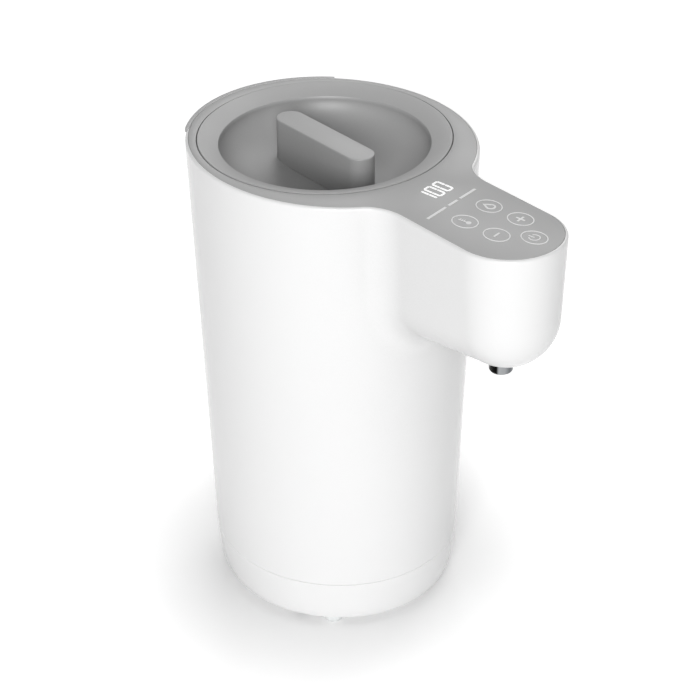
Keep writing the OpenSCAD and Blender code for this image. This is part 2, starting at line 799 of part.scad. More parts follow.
module top_collar() {
    half_w = half_at(collar_z, body_half_w, seam_half_w) - wall - 2 * fit_gap;
    half_l = half_at(collar_z, body_half_l, seam_half_l) - wall - 2 * fit_gap;
    color("gainsboro") difference() {
        on_axis() intersection() {
            translate([0, 0, collar_z]) linear_extrude(collar_t) polygon(oval(half_w, half_l));
            translate([-body_half_w, collar_front_y, collar_z - over])
                cube([body_w, body_l, collar_t + 2 * over]);
        }
        on_tank() translate([0, 0, collar_z - over])
            cylinder(r = collar_bore_r, h = collar_t + 2 * over);
        on_axis() collar_place(-1) translate([0, 0, collar_z - over])
            cylinder(r = screw_r + screw_clear, h = collar_t + 2 * over);
    }
}
module collar_screws() {
    color("silver") on_axis() collar_place(-1) translate([0, 0, collar_top])
        mirror([0, 0, 1]) screw(screw_r, screw_head_r, screw_head_t, collar_t + 3 * screw_head_r);
}
module tank_gasket() {
    color("lightgray") on_tank() tube(flange_r, collar_bore_r, gasket_t, collar_top);
}
module tank() {
    inner_corner = tank_corner - tank_t;
    outline = concat([[0, tank_z]], arc([tank_r - tank_corner, tank_z + tank_corner],
        tank_corner, 270, 360), [[tank_r, flange_z], [flange_r, flange_z], [flange_r, flange_top],
        [tank_inner_r, flange_top]], arc([tank_inner_r - inner_corner, tank_z + tank_corner],
        inner_corner, 360, 270), [[0, tank_z + tank_t]]);
    color("silver") difference() {
        union() {
            on_tank() rotate_extrude() polygon(outline);
            at_pump() translate([0, 0, tank_z - tank_stub_l])
                cylinder(r = suction_bore_r - port_gap, h = tank_stub_l + tank_t / 2);
        }
        at_pump() translate([0, 0, tank_z - tank_stub_l - over])
            cylinder(r = suction_bore_r - port_wall, h = tank_stub_l + tank_t + 2 * over);
    }
}
module heater_plate() {
    color("silver") on_tank() translate([0, 0, tank_z - heater_t])
        cylinder(r = heater_r, h = heater_t);
}
module heater_element() {
    half_gap = (360 - element_span) / 2;
    color("dimgray") on_tank() rotate([0, 0, 90 + half_gap]) {
        translate([0, 0, element_z]) rotate_extrude(angle = element_span)
            translate([element_ring_r, 0]) circle(r = element_d / 2);
        for (a = [half_gap / 3, element_span - half_gap / 3]) rotate([0, 0, a])
            translate([element_ring_r, 0, element_z - element_d / 2 - terminal_l])
                cylinder(r = terminal_r, h = terminal_l + element_d / 2);
    }
}
module heater_clamp() {
    low = element_z - element_d / 2 - element_gap - clamp_t;
    color("gainsboro") on_tank() translate([0, clamp_w / 2, 0]) rotate([90, 0, 0])
        linear_extrude(clamp_w) polygon(concat(
            [[clamp_half + clamp_t, low], [clamp_half + clamp_t, tank_z], [clamp_half, tank_z],
            [clamp_half, low + clamp_t]], mirrored([[clamp_half + clamp_t, low],
            [clamp_half + clamp_t, tank_z], [clamp_half, tank_z], [clamp_half, low + clamp_t]])));
}
module temp_sensor() {
    top = tank_z - heater_t;
    color("orange") on_tank() translate([0, sensor_y, top - sensor_h]) {
        cylinder(r = sensor_r, h = sensor_h);
        translate([0, 0, -sensor_h / 2]) cylinder(r = sensor_r / 2, h = sensor_h / 2);
    }
}
module thermal_cutout() {
    top = tank_z - heater_t;
    color("black") on_tank() translate([0, -cutout_y, top - cutout_h]) {
        cylinder(r = cutout_r, h = cutout_h);
        both_sides() translate([cutout_r / 2, 0, -cutout_h / 2])
            block([cutout_r / 4, cutout_r / 2, cutout_h / 2]);
    }
}

module suction_hose() {
    low = cap_z + cap_t + stand_gap;
    color("whitesmoke") at_pump() tube(suction_r, suction_bore_r, tank_z - low - 4 * stand_gap, low);
}
module pump_volute() {
    bore = riser_bore_r - port_wall;
    outer = riser_bore_r - port_gap;
    run = riser_y - pump_y - port_bend;
    color("dimgray") at_pump() difference() {
        union() {
            translate([0, 0, volute_z]) cylinder(r = pump_r, h = volute_h);
            translate([riser_x, 0, port_z]) rotate([90, 0, 0]) cylinder(r = outer, h = run);
            translate([riser_x, -run, port_z + port_bend]) rotate([0, 90, 0])
                rotate_extrude(angle = -90) translate([port_bend, 0]) circle(r = outer);
            translate([riser_x, -run - port_bend, port_z + port_bend])
                cylinder(r = outer, h = port_top - port_z - port_bend);
        }
        translate([0, 0, volute_z + volute_wall])
            cylinder(r = pump_r - volute_wall, h = volute_h);
        translate([0, 0, volute_z - over]) cylinder(r = shaft_r + shaft_gap, h = volute_h);
        translate([riser_x, 0, port_z]) rotate([90, 0, 0]) cylinder(r = bore, h = run);
        translate([riser_x, -run, port_z + port_bend]) rotate([0, 90, 0])
            rotate_extrude(angle = -90) translate([port_bend, 0]) circle(r = bore);
        translate([riser_x, -run - port_bend, port_z + port_bend])
            cylinder(r = bore, h = port_top - port_z);
    }
}
module pump_cap() {
    color("dimgray") at_pump() difference() {
        union() {
            translate([0, 0, cap_z]) cylinder(r = pump_r, h = cap_t);
            translate([0, 0, cap_z]) cylinder(r = suction_bore_r - port_gap,
                h = cap_t + suction_port_l);
        }
        translate([0, 0, cap_z - over]) cylinder(r = suction_bore_r - port_wall,
            h = cap_t + suction_port_l + 2 * over);
    }
}
module pump_motor() {
    color("gray") at_pump() difference() {
        translate([0, 0, motor_z]) cylinder(r = motor_r, h = motor_h);
        translate([0, 0, motor_z + motor_h / 4]) cylinder(r = shaft_r + shaft_gap, h = motor_h);
    }
}
module pump_bracket() {
    ear_z = cover_floor + ear_boss_h;
    color("gainsboro") at_pump() difference() {
        union() {
            translate([0, 0, cover_floor]) cylinder(r = motor_r + fit_gap + bracket_wall,
                h = bracket_h);
            both_sides() {
                translate([ear_x, 0, ear_z]) cylinder(r = ear_r, h = ear_t);
                translate([0, -ear_r, ear_z]) cube([ear_x, 2 * ear_r, ear_t]);
            }
        }
        translate([0, 0, motor_z]) cylinder(r = motor_r + fit_gap, h = bracket_h);
        both_sides() translate([ear_x, 0, ear_z - over])
            cylinder(r = screw_r + screw_clear, h = ear_t + 2 * over);
    }
}
module pump_screws() {
    color("silver") at_pump() both_sides() translate([ear_x, 0, cover_floor + ear_boss_h + ear_t])
        mirror([0, 0, 1]) screw(screw_r, screw_head_r, screw_head_t, ear_t + ear_boss_h - over);
}
module pump_impeller() {
    low = volute_z + volute_wall + impeller_gap;
    color("steelblue") at_pump() difference() {
        union() {
            translate([0, 0, low]) cylinder(r = impeller_r, h = impeller_plate);
            translate([0, 0, low]) cylinder(r = hub_r, h = impeller_plate + vane_h);
            for (i = [0 : vanes - 1]) rotate([0, 0, 360 * i / vanes])
                translate([hub_r * 0.7, -vane_t / 2, low])
                    cube([impeller_r * 0.96 - hub_r * 0.7, vane_t, impeller_plate + vane_h]);
        }
        translate([0, 0, low - over]) cylinder(r = shaft_r + shaft_gap / 2,
            h = impeller_plate + vane_h + 2 * over);
    }
}
module pump_shaft() {
    low = motor_z + motor_h / 4 + stand_gap;
    top = volute_z + volute_wall + impeller_gap + impeller_plate + vane_h;
    color("silver") at_pump() translate([0, 0, low]) cylinder(r = shaft_r, h = top - low);
}

// The riser hose and the elbow share one upright plane, from the riser to the nozzle
module riser_frame() {
    on_axis() translate([riser_x, -riser_y, 0]) rotate([0, 0, 180 + run_angle]) children();
}
module riser_hose() {
    rise = riser_run_z - riser_bend;
    end = run_l - elbow_bend - hose_end_gap;
    color("whitesmoke") riser_frame() {
        tube(riser_r, riser_bore_r, rise - riser_start, riser_start);
        translate([riser_bend, 0, rise]) rotate([90, 0, 180]) rotate_extrude(angle = 90)
            translate([riser_bend, 0]) difference() {
                circle(r = riser_r);
                circle(r = riser_bore_r);
            }
        translate([riser_bend, 0, riser_run_z]) rotate([0, 90, 0])
            tube(riser_r, riser_bore_r, end - riser_bend);
    }
}
module hose_clips() {
    low = cap_z + cap_t + clip_w / 2;
    end = run_l - elbow_bend - hose_end_gap - 2 * clip_w;
    color("silver") {
        at_pump() for (z = [low, tank_z - clip_w - low / 16])
            tube(suction_r + clip_t, suction_r, clip_w, z);
        riser_frame() {
            tube(riser_r + clip_t, riser_r, clip_w, riser_start + clip_w / 2);
            translate([end, 0, riser_run_z]) rotate([0, 90, 0])
                tube(riser_r + clip_t, riser_r, clip_w);
        }
    }
}
module elbow_path(r, port_r, port_l) {
    translate([0, 0, holder_top]) cylinder(r = r, h = riser_run_z - elbow_bend - holder_top);
    translate([-elbow_bend, 0, riser_run_z - elbow_bend]) rotate([90, 0, 0])
        rotate_extrude(angle = 90) translate([elbow_bend, 0]) circle(r = r);
    translate([-elbow_bend, 0, riser_run_z]) rotate([0, -90, 0])
        cylinder(r = port_r, h = port_l);
}
module nozzle_elbow() {
    bore = riser_bore_r - port_wall;
    color("whitesmoke") at_nozzle() rotate([0, 0, 180 + run_angle]) difference() {
        elbow_path(elbow_r, riser_bore_r - port_gap, elbow_port_l);
        translate([0, 0, holder_top - over])
            cylinder(r = bore, h = riser_run_z - elbow_bend - holder_top + over);
        translate([-elbow_bend, 0, riser_run_z - elbow_bend]) rotate([90, 0, 0])
            rotate_extrude(angle = 90) translate([elbow_bend, 0]) circle(r = bore);
        translate([-elbow_bend, 0, riser_run_z]) rotate([0, -90, 0])
            cylinder(r = bore, h = elbow_port_l + over);
    }
}
module nozzle_holder() {
    low = keel_z + 0.6;
    color("black") at_nozzle() difference() {
        union() {
            translate([0, 0, low]) cylinder(r = holder_r, h = holder_top - low);
            translate([0, 0, nozzle_seat]) cylinder(r = holder_flange_r, h = holder_flange_t);
        }
        translate([0, 0, low - over]) cylinder(r = nozzle_r + port_gap, h = tip_top - low + over);
        translate([0, 0, low]) cylinder(r = riser_bore_r - port_wall, h = holder_top);
    }
}
module nozzle_tip() {
    color("silver") at_nozzle() rotate_extrude() polygon(concat(
        [[tip_bore_r, tip_bottom + tip_round / 2]],
        arc([nozzle_r - tip_round, tip_bottom + tip_round], tip_round, 270, 360),
        [[nozzle_r, tip_top], [tip_bore_r, tip_top]]));
}

module control_board() {
    mid = (control_back_y + control_front_y) / 2;
    color("green") difference() {
        on_axis() translate([0, -mid, 0])
            block([control_w, control_front_y - control_back_y, board_t], control_z);
        control_posts() translate([0, 0, control_z - over])
            cylinder(r = small_screw_r + screw_clear, h = board_t + 2 * over);
    }
}
module board_screws() {
    color("silver") control_posts() translate([0, 0, control_z])
        screw(small_screw_r, small_head_r, small_head_t, board_t + board_drop - 3 * over);
}
module display_module() {
    color("dimgray") on_axis() translate([digits_x, -digits_y, control_z + board_t])
        rotate([0, 0, row_slant]) block([display_w, display_l, board_drop - stand_gap]);
}
module touch_springs() {
    color("silver") on_axis() for (i = [0 : len(key_places) - 1])
        translate([key_at(i)[0], key_at(i)[1], control_z + board_t])
            cylinder(r = spring_r, h = board_drop - stand_gap);
}
// Flat cable, folded square, from the power board up the front of the tank to the deck
module panel_cable() {
    t = cable_t;
    low = power_z + board_t;
    path = [[cable_back_y, low], [cable_back_y, cable_low_z + t],
        [cable_rise_y + t, cable_low_z + t], [cable_rise_y + t, cable_high_z],
        [cable_end_y + t, cable_high_z], [cable_end_y + t, control_z],
        [cable_end_y, control_z], [cable_end_y, cable_high_z - t],
        [cable_rise_y, cable_high_z - t], [cable_rise_y, cable_low_z],
        [cable_back_y - t, cable_low_z], [cable_back_y - t, low]];
    color("lightgray") on_axis() translate([cable_x - cable_w / 2, 0, 0])
        rotate([90, 0, 90]) linear_extrude(cable_w) polygon(path);
}

module power_board() {
    back = cable_back_y - power_y + board_l / 2;
    color("green") difference() {
        on_axis() union() {
            translate([0, power_y, 0]) block([board_w, board_l, board_t], power_z);
            translate([cable_x, cable_back_y - cable_t, 0])
                block([2 * cable_w, 2 * power_post_inset, board_t], power_z);
        }
        on_axis() power_places() translate([0, 0, power_z - over])
            cylinder(r = screw_r + screw_clear, h = board_t + 2 * over);
    }
}
module power_screws() {
    color("silver") on_axis() power_places() translate([0, 0, power_z + board_t])
        mirror([0, 0, 1]) screw(screw_r, screw_head_r, screw_head_t, 5 * board_t);
}
// Parts that stand on the power board, by their place on it
module on_power(x, y) {
    on_axis() translate([x, power_y + y, power_z + board_t]) children();
}
transformer_size = [24, 20, 17];
relay_size = [19, 15.5, 15];
capacitor_r = 5.5;
capacitor_h = 18;
fuse_r = 2.6;
fuse_l = 20;
module transformer() {
    w = transformer_size[0];
    color("gold") on_power(board_t / 2 - board_w / 4, -board_l / 8) {
        block([w, transformer_size[1], transformer_size[2] * 0.7]);
        translate([0, 0, transformer_size[2] * 0.7])
            block([w * 0.6, transformer_size[1], transformer_size[2] * 0.3]);
    }
}
module relay() {
    color("royalblue") on_power(board_w / 4 - board_t, -board_l / 8) block(relay_size);
}
module capacitor() {
    color("black") on_power(board_w / 4 + capacitor_r / 2, board_l / 4 + capacitor_r / 3)
        cylinder(r = capacitor_r, h = capacitor_h);
}
module fuse() {
    color("lightgray") on_power(-fuse_l / 2, board_l / 4 + fuse_r) {
        translate([0, 0, fuse_r]) rotate([0, 90, 0]) cylinder(r = fuse_r, h = fuse_l);
        for (x = [fuse_r, fuse_l - fuse_r]) translate([x, 0, 0])
            block([fuse_r, 2 * fuse_r, fuse_r]);
    }
}
module mains_inlet() {
    half_w = inlet_half_w;
    half_h = inlet_half_h;
    depth = socket_depth + inlet_back;
    color("black") on_axis() translate([0, inlet_face_y, socket_z]) difference() {
        union() {
            translate([-half_w, -depth, -half_h]) cube([2 * half_w, depth, 2 * half_h]);
            translate([-half_w - inlet_flange_w, inlet_seat_y - inlet_face_y - inlet_flange_t,
                -half_h - inlet_flange_w]) cube([2 * (half_w + inlet_flange_w), inlet_flange_t,
                2 * (half_h + inlet_flange_w)]);
        }
        translate([-socket_w / 2, -socket_depth, -socket_h / 2])
            cube([socket_w, socket_depth + over, socket_h]);
        pin_places() block([pin_t + fit_gap, depth, pin_h + fit_gap], -(pin_h + fit_gap) / 2);
    }
}
module pin_places() {
    for (x = [-pin_x, 0, pin_x]) translate([x, -socket_depth, x == 0 ? -pin_z : pin_z])
        children();
}
module inlet_pins() {
    l = pin_l + inlet_back + pin_tail;
    color("silver") on_axis() translate([0, inlet_face_y, socket_z]) pin_places()
        translate([-pin_t / 2, -inlet_back - pin_tail, -pin_h / 2]) cube([pin_t, l, pin_h]);
}

module lid_bowl() {
    skin = [for (p = bowl_curve) [p[0], p[1] - lid_wall]];
    color("darkgray") on_tank() difference() {
        union() {
            rotate_extrude() polygon(concat([[0, lid_top - bowl_depth], [0, bowl_under]],
                [for (i = [len(skin) - 1 : -1 : 0]) skin[i]], [[plug_r, lid_shoulder],
                [lid_r, lid_shoulder], [lid_r, lid_top]], bowl_curve));
            tube(plug_r, plug_r - plug_wall, lid_shoulder - inner_cover_z - inner_cover_t
                + lid_wall / 2, inner_cover_z + inner_cover_t);
            lid_places() translate([0, 0, inner_cover_z + inner_cover_t]) cylinder(r = lid_boss_r,
                h = bowl_z(lid_boss_at) - lid_wall / 2 - inner_cover_z - inner_cover_t);
        }
        lid_places() translate([0, 0, inner_cover_z])
            cylinder(r = screw_r + thread_gap, h = 3 * screw_head_r);
        grip_places() translate([0, 0, bowl_under - over])
            cylinder(r = screw_r + screw_clear, h = bowl_depth);
    }
}
module lid_places() {
    for (a = [30, 150, 270]) rotate([0, 0, a]) translate([lid_boss_at, 0, 0]) children();
}
module grip_places() {
    for (y = [-grip_screw_at, grip_screw_at]) translate([0, y, 0]) children();
}
module grip_plan(grow) {
    reach = (grip_l - grip_w) / 2;
    polygon(concat(arc([0, reach], grip_w / 2 + grow, 0, 180),
        arc([0, -reach], grip_w / 2 + grow, 180, 360)));
}
// The grip bar, whose foot follows the bowl
module lid_grip() {
    low = lid_top - bowl_depth;
    above = concat([[0, low - over], [0, low]], [for (i = [len(bowl_curve) - 1 : -1 : 0])
        bowl_curve[i]], [[bowl_r, low - over]]);
    color("darkgray") on_tank() difference() {
        union() {
            translate([0, 0, low]) linear_extrude(bowl_depth - grip_edge) grip_plan(0);
            translate([0, 0, lid_top - grip_edge]) linear_extrude(grip_edge)
                grip_plan(-grip_edge / 2);
        }
        rotate_extrude() polygon(above);
        grip_places() translate([0, 0, low - over])
            cylinder(r = screw_r + thread_gap, h = bowl_depth / 2);
    }
}
module lid_seal() {
    color("lightgray") on_tank() tube(flange_r - stand_gap, plug_r + stand_gap, seal_t,
        flange_top);
}
module lid_inner_cover() {
    color("darkgray") on_tank() difference() {
        translate([0, 0, inner_cover_z]) cylinder(r = plug_r, h = inner_cover_t);
        lid_places() translate([0, 0, inner_cover_z - over])
            cylinder(r = screw_r + screw_clear, h = inner_cover_t + 2 * over);
        translate([0, 0, inner_cover_z - over])
            cylinder(r = vent_r, h = inner_cover_t + 2 * over);
    }
}
module lid_screws() {
    color("silver") on_tank() {
        lid_places() translate([0, 0, inner_cover_z])
            screw(screw_r, screw_head_r, screw_head_t, inner_cover_t + 2 * screw_head_r);
        grip_places() translate([0, 0, bowl_under])
            screw(screw_r, screw_head_r, screw_head_t, 3 * screw_head_r);
    }
}

outer_shell();
base_cover();
rubber_feet();
base_screws();
deck_panel();
rear_lip();
display_digits();
key_marks();
status_bars();
top_collar();
collar_screws();
tank_gasket();
tank();
heater_plate();
heater_element();
heater_clamp();
temp_sensor();
thermal_cutout();
suction_hose();
pump_volute();
pump_cap();
pump_motor();
pump_bracket();
pump_screws();
pump_impeller();
pump_shaft();
riser_hose();
hose_clips();
nozzle_elbow();
nozzle_holder();
nozzle_tip();
control_board();
display_module();
touch_springs();
board_screws();
panel_cable();
power_board();
power_screws();
transformer();
relay();
capacitor();
fuse();
mains_inlet();
inlet_pins();
lid_bowl();
lid_grip();
lid_seal();
lid_inner_cover();
lid_screws();
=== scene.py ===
# %% [markdown]
# # A water dispenser for baby formula
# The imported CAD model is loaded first. It gives the places of all pieces, in metres. The larger
# pieces that show are then modelled again with softer edges, and all pieces get better finishes.

# %% Load the CAD model
import json

import math

import bmesh
import bpy
import numpy as np
from mathutils import Matrix, Vector


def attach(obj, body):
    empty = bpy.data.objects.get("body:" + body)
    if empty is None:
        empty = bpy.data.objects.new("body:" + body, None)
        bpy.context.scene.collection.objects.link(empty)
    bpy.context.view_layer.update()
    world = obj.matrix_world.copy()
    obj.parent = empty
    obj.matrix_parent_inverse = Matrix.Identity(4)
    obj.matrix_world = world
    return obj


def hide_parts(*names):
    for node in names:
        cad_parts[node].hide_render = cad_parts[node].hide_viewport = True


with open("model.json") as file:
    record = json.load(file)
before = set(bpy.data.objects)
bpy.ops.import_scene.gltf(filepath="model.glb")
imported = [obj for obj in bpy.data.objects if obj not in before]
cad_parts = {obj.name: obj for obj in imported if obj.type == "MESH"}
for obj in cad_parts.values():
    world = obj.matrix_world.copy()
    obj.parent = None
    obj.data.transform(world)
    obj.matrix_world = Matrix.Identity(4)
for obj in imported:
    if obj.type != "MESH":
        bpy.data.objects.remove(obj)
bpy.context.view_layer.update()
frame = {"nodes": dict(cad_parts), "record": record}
MM = 0.001
print("CAD nodes:", len(frame["nodes"]))

# %% [markdown]
# ## Camera
# The photograph looks down on the machine from its front left. The camera's place, aim and
# lens were worked out from the ovals of the deck and of the base.

# %% Place the camera
axis_y = 35.4 * MM  # how far the body's axis lies behind the part's centre


def place_camera(azimuth, elevation, distance, lens, side, height, roll):
    """Aims at a point on the body's axis, moved sideways; in degrees and millimetres."""
    a, e, r = math.radians(azimuth), math.radians(elevation), math.radians(roll)
    back = np.array([math.sin(a) * math.cos(e), -math.cos(a) * math.cos(e), math.sin(e)])
    right = np.array([math.cos(a), math.sin(a), 0.0])
    up = np.cross(back, right)
    target = np.array([0, axis_y, height * MM]) + side * MM * right
    eye = target + distance * MM * back
    right_turned = right * math.cos(r) + up * math.sin(r)
    up_turned = -right * math.sin(r) + up * math.cos(r)
    data = bpy.data.cameras.new("camera")
    data.lens = lens
    camera = bpy.data.objects.new("camera", data)
    bpy.context.collection.objects.link(camera)
    matrix = Matrix.Identity(4)
    for row in range(3):
        matrix[row][0] = right_turned[row]
        matrix[row][1] = up_turned[row]
        matrix[row][2] = back[row]
        matrix[row][3] = eye[row]
    camera.matrix_world = matrix
    bpy.context.scene.camera = camera
    return camera


camera = place_camera(azimuth=-39.41, elevation=31.615, distance=1023.7, lens=108.0, side=7.585,
                      height=123.55, roll=-0.454)
print("camera at", [round(v, 3) for v in camera.location])

# %% [markdown]
# ## Sizes
# These are the sizes of the CAD model, in millimetres from the body's axis and from the floor.

# %% Sizes of the body, the arm and the lid
body_half = (65.0, 71.5)  # half width and half length at the deck
seam_half = (59.7, 62.4)  # the same at the base seam
deck_h, seam_h = 237.4, 26.9
arm_reach, arm_half = 117.4, 25.8
# the arm's round belly: its radius, its height at its front end, how far forward that end is,
# and how it falls from there towards the body
belly_r, belly_z, belly_y, belly_slope = 23.7, 198.1, 118.5, math.tan(math.radians(8.3))
neck_r, arm_root = 17.0, 20.0  # the root's fillet, and where the arm ends inside the body
rim_r, deck_t, wall = 1.3, 2.2, 2.4  # the rim's rounding, the deck's thickness, the shell's wall
tank_y = 5.1  # how far the lid and the tank lie behind the body's axis
lid_r, lid_top = 59.0, 237.7
corners = [(sx, sy) for sx in (-1, 1) for sy in (-1, 1)]
print("body", 2 * body_half[0], "x", 2 * body_half[1], "mm at the deck,", deck_h, "mm high")


# %% [markdown]
# ## Helpers
# Operators act on whatever is selected, so a new piece starts with nothing selected. Each
# finished piece has its place in its mesh, rides on its CAD body, and hides its CAD node.


# %% Helpers for modelling
def start():
    """Leaves edit mode and selects nothing."""
    if bpy.context.object and bpy.context.object.mode != "OBJECT":
        bpy.ops.object.mode_set(mode="OBJECT")
    bpy.ops.object.select_all(action="DESELECT")


def only(piece):
    start()
    piece.select_set(True)
    bpy.context.view_layer.objects.active = piece


def finish_piece(piece, name, body, nodes):
    """Puts the piece's place into its mesh, names it, gives it to its CAD body and hides its CAD nodes.
    """
    only(piece)
    bpy.ops.object.transform_apply(location=True, rotation=True, scale=True)
    bpy.ops.object.mode_set(mode="EDIT")
    bpy.ops.mesh.select_all(action="SELECT")
    bpy.ops.mesh.normals_make_consistent(inside=False)
    bpy.ops.object.mode_set(mode="OBJECT")
    bpy.ops.object.shade_smooth_by_angle(angle=math.radians(32))
    piece.name = piece.data.name = name
    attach(piece, body)
    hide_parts(*nodes)
    print(name, len(piece.data.polygons), "faces")


def apply_all(piece):
    only(piece)
    for modifier in list(piece.modifiers):
        bpy.ops.object.modifier_apply(modifier=modifier.name)


def bevel_edges(piece, width, segments=3):
    """Rounds the edges that turn by more than 40 degrees; the width is in millimetres."""
    bevel = piece.modifiers.new("soft_edges", "BEVEL")
    bevel.width = width * MM
    bevel.segments = segments
    bevel.limit_method = "ANGLE"
    bevel.angle_limit = math.radians(40)
    bevel.use_clamp_overlap = True
    apply_all(piece)


def cut_away(piece, cutter):
    """Takes the cutter's volume out of the piece."""
    boolean = piece.modifiers.new("cut", "BOOLEAN")
    boolean.operation = "DIFFERENCE"
    boolean.solver = "EXACT"
    boolean.object = cutter
    apply_all(piece)
    bpy.data.objects.remove(cutter)


def blank_piece():
    """A new piece without points, in edit mode, and its mesh."""
    start()
    bpy.ops.mesh.primitive_plane_add(size=MM)
    piece = bpy.context.object
    bpy.ops.object.mode_set(mode="EDIT")
    mesh = bmesh.from_edit_mesh(piece.data)
    bmesh.ops.delete(mesh, geom=mesh.verts[:], context="VERTS")
    return piece, mesh


def draw_up(height):
    """Extrudes what is selected by a height in millimetres."""
    bpy.ops.mesh.extrude_region_move(TRANSFORM_OT_translate={"value": (0, 0, height * MM)})


def spin_profile(points, steps, centre):
    """Spins a closed profile of (radius, height) in millimetres round an upright axis."""
    piece, mesh = blank_piece()
    verts = [mesh.verts.new((centre[0] + r * MM, centre[1], z * MM)) for r, z in points]
    for a, b in zip(verts, verts[1:] + verts[:1]):
        mesh.edges.new((a, b))
    bmesh.update_edit_mesh(piece.data)
    bpy.ops.mesh.select_all(action="SELECT")
    bpy.ops.mesh.spin(steps=steps, angle=2 * math.pi, center=(centre[0], centre[1], 0),
                      axis=(0, 0, 1), dupli=False)
    bpy.ops.mesh.select_all(action="SELECT")
    bpy.ops.mesh.remove_doubles(threshold=0.00001)
    bpy.ops.object.mode_set(mode="OBJECT")
    return piece


def arc(centre, radius, low, high, steps=8):
    """Points of an arc, with its ends, in degrees."""
    turns = [math.radians(low + (high - low) * i / steps) for i in range(steps + 1)]
    return [(centre[0] + radius * math.cos(t), centre[1] + radius * math.sin(t)) for t in turns]


# %% [markdown]
# ## The outer shell
# The real shell is one moulding in glossy white ABS: a tapered oval body, a rounded arm, and
# a fillet of one radius all the way round the arm's root. A bevel can't follow such a root, so
# a rough body and arm are joined and remeshed into even quads. Each point is then moved onto
# the true surface, which is written as a distance: below nought inside, above nought outside.


# %% The distance to the shell's true surface
def shell_distance(p):
    """Distances of points (n, 3) in millimetres to the body and to the arm."""
    x, y, z = p[:, 0], p[:, 1], p[:, 2]
    share = (z - seam_h) / (deck_h - seam_h)
    a = seam_half[0] + (body_half[0] - seam_half[0]) * share
    b = seam_half[1] + (body_half[1] - seam_half[1]) * share
    k = np.sqrt((x / a) ** 2 + (y / b) ** 2) + 1e-9
    slope = np.sqrt((x / a**2) ** 2 + (y / b**2) ** 2) + 1e-9
    to_body = k * (k - 1) / slope
    rise = np.clip((z - belly_z) / (deck_h - belly_z), 0, None)
    end_y = -(belly_y + (arm_reach - belly_y) * np.clip(rise, 0, 1))
    ahead = np.minimum(0, y - end_y)
    centre_z = belly_z - np.clip(y + belly_y, 0, None) * belly_slope
    grown = np.clip((z - centre_z) / (deck_h - centre_z), 0, None)
    side = np.sqrt(x**2 + ahead**2)
    above = side - (belly_r + (arm_half - belly_r) * grown)
    below = np.sqrt(side**2 + np.minimum(0, z - centre_z) ** 2) - belly_r
    to_arm = np.where(z > centre_z, above, below)
    return to_body, np.maximum(to_arm, y + arm_root)


def slope_of(function, p, step=0.02):
    """Slope of a distance at points, by small steps along X, Y and Z."""
    steps = np.eye(3) * step
    parts = [(function(p + s) - function(p - s)) / (2 * step) for s in steps]
    return np.stack(parts, axis=1)


def filleted(p):
    """Joins body and arm with a fillet that rolls a ball of the neck's radius along both."""
    body, arm = shell_distance(p)
    n1 = slope_of(lambda q: shell_distance(q)[0], p)
    n2 = slope_of(lambda q: shell_distance(q)[1], p)
    n1 /= np.linalg.norm(n1, axis=1)[:, None] + 1e-9
    n2 /= np.linalg.norm(n2, axis=1)[:, None] + 1e-9
    c = np.clip((n1 * n2).sum(axis=1), -0.99, 0.99)
    u, v = neck_r - body, neck_r - arm
    first, second = (u - v * c) / (1 - c * c), (v - u * c) / (1 - c * c)
    reach = np.sqrt(np.clip((u * u + v * v - 2 * u * v * c) / (1 - c * c), 0, None))
    rolls = (u > 0) & (v > 0) & (first > 0) & (second > 0)
    return np.where(rolls, neck_r - reach, np.minimum(body, arm))


def settle(p, rounds):
    """Moves points along the slope until they lie on the surface."""
    for _ in range(rounds):
        d = filleted(p)
        n = slope_of(filleted, p, 0.05)
        length = np.linalg.norm(n, axis=1)[:, None] + 1e-9
        p = p - np.clip(d, -3, 3)[:, None] * n / length
    return p


# %% Join and remesh a rough body and arm
def oval_solid(z_from, z_to, size_from, size_to):
    """An upright oval solid with a half width and half length for each end."""
    start()
    bpy.ops.mesh.primitive_cylinder_add(vertices=160, radius=1, depth=1)
    piece = bpy.context.object
    co = np.array([v.co[:] for v in piece.data.vertices])
    top = co[:, 2] > 0
    for i, (a, b) in enumerate((size_from, size_to)):
        pick = top if i else ~top
        co[pick, 0] *= a * MM
        co[pick, 1] *= b * MM
    co[:, 2] = np.where(top, z_to * MM, z_from * MM)
    piece.data.vertices.foreach_set("co", co.ravel())
    return piece


margin = 8.0  # the rough form reaches past the ends that are cut flat later
arm_start, past_end, below_belly = 40.0, 0.6 * arm_half, 0.8 * belly_r
shell = oval_solid(seam_h - margin, deck_h + margin, seam_half, body_half)
start()
bpy.ops.mesh.primitive_cube_add(size=1)
rough_arm = bpy.context.object
co = np.array([v.co[:] for v in rough_arm.data.vertices])
co[:, 0] *= 2 * belly_r * MM
co[:, 1] = np.where(co[:, 1] < 0, -(arm_reach + past_end) * MM, -arm_start * MM)
co[:, 2] = np.where(co[:, 2] < 0, (belly_z - below_belly) * MM, (deck_h + margin) * MM)
rough_arm.data.vertices.foreach_set("co", co.ravel())
join = shell.modifiers.new("join", "BOOLEAN")
join.operation, join.solver, join.object = "UNION", "EXACT", rough_arm
apply_all(shell)
bpy.data.objects.remove(rough_arm)
remesh = shell.modifiers.new("even_quads", "REMESH")
remesh.mode = "VOXEL"
remesh.voxel_size = 2.1 * MM
apply_all(shell)
print("rough shell of", len(shell.data.polygons), "faces")


# %% Move the points onto the true surface, even them out and settle them again
def neighbours(mesh):
    """The two point numbers of each edge."""
    edges = np.empty(2 * len(mesh.edges), int)
    mesh.edges.foreach_get("vertices", edges)
    return edges.reshape(-1, 2)


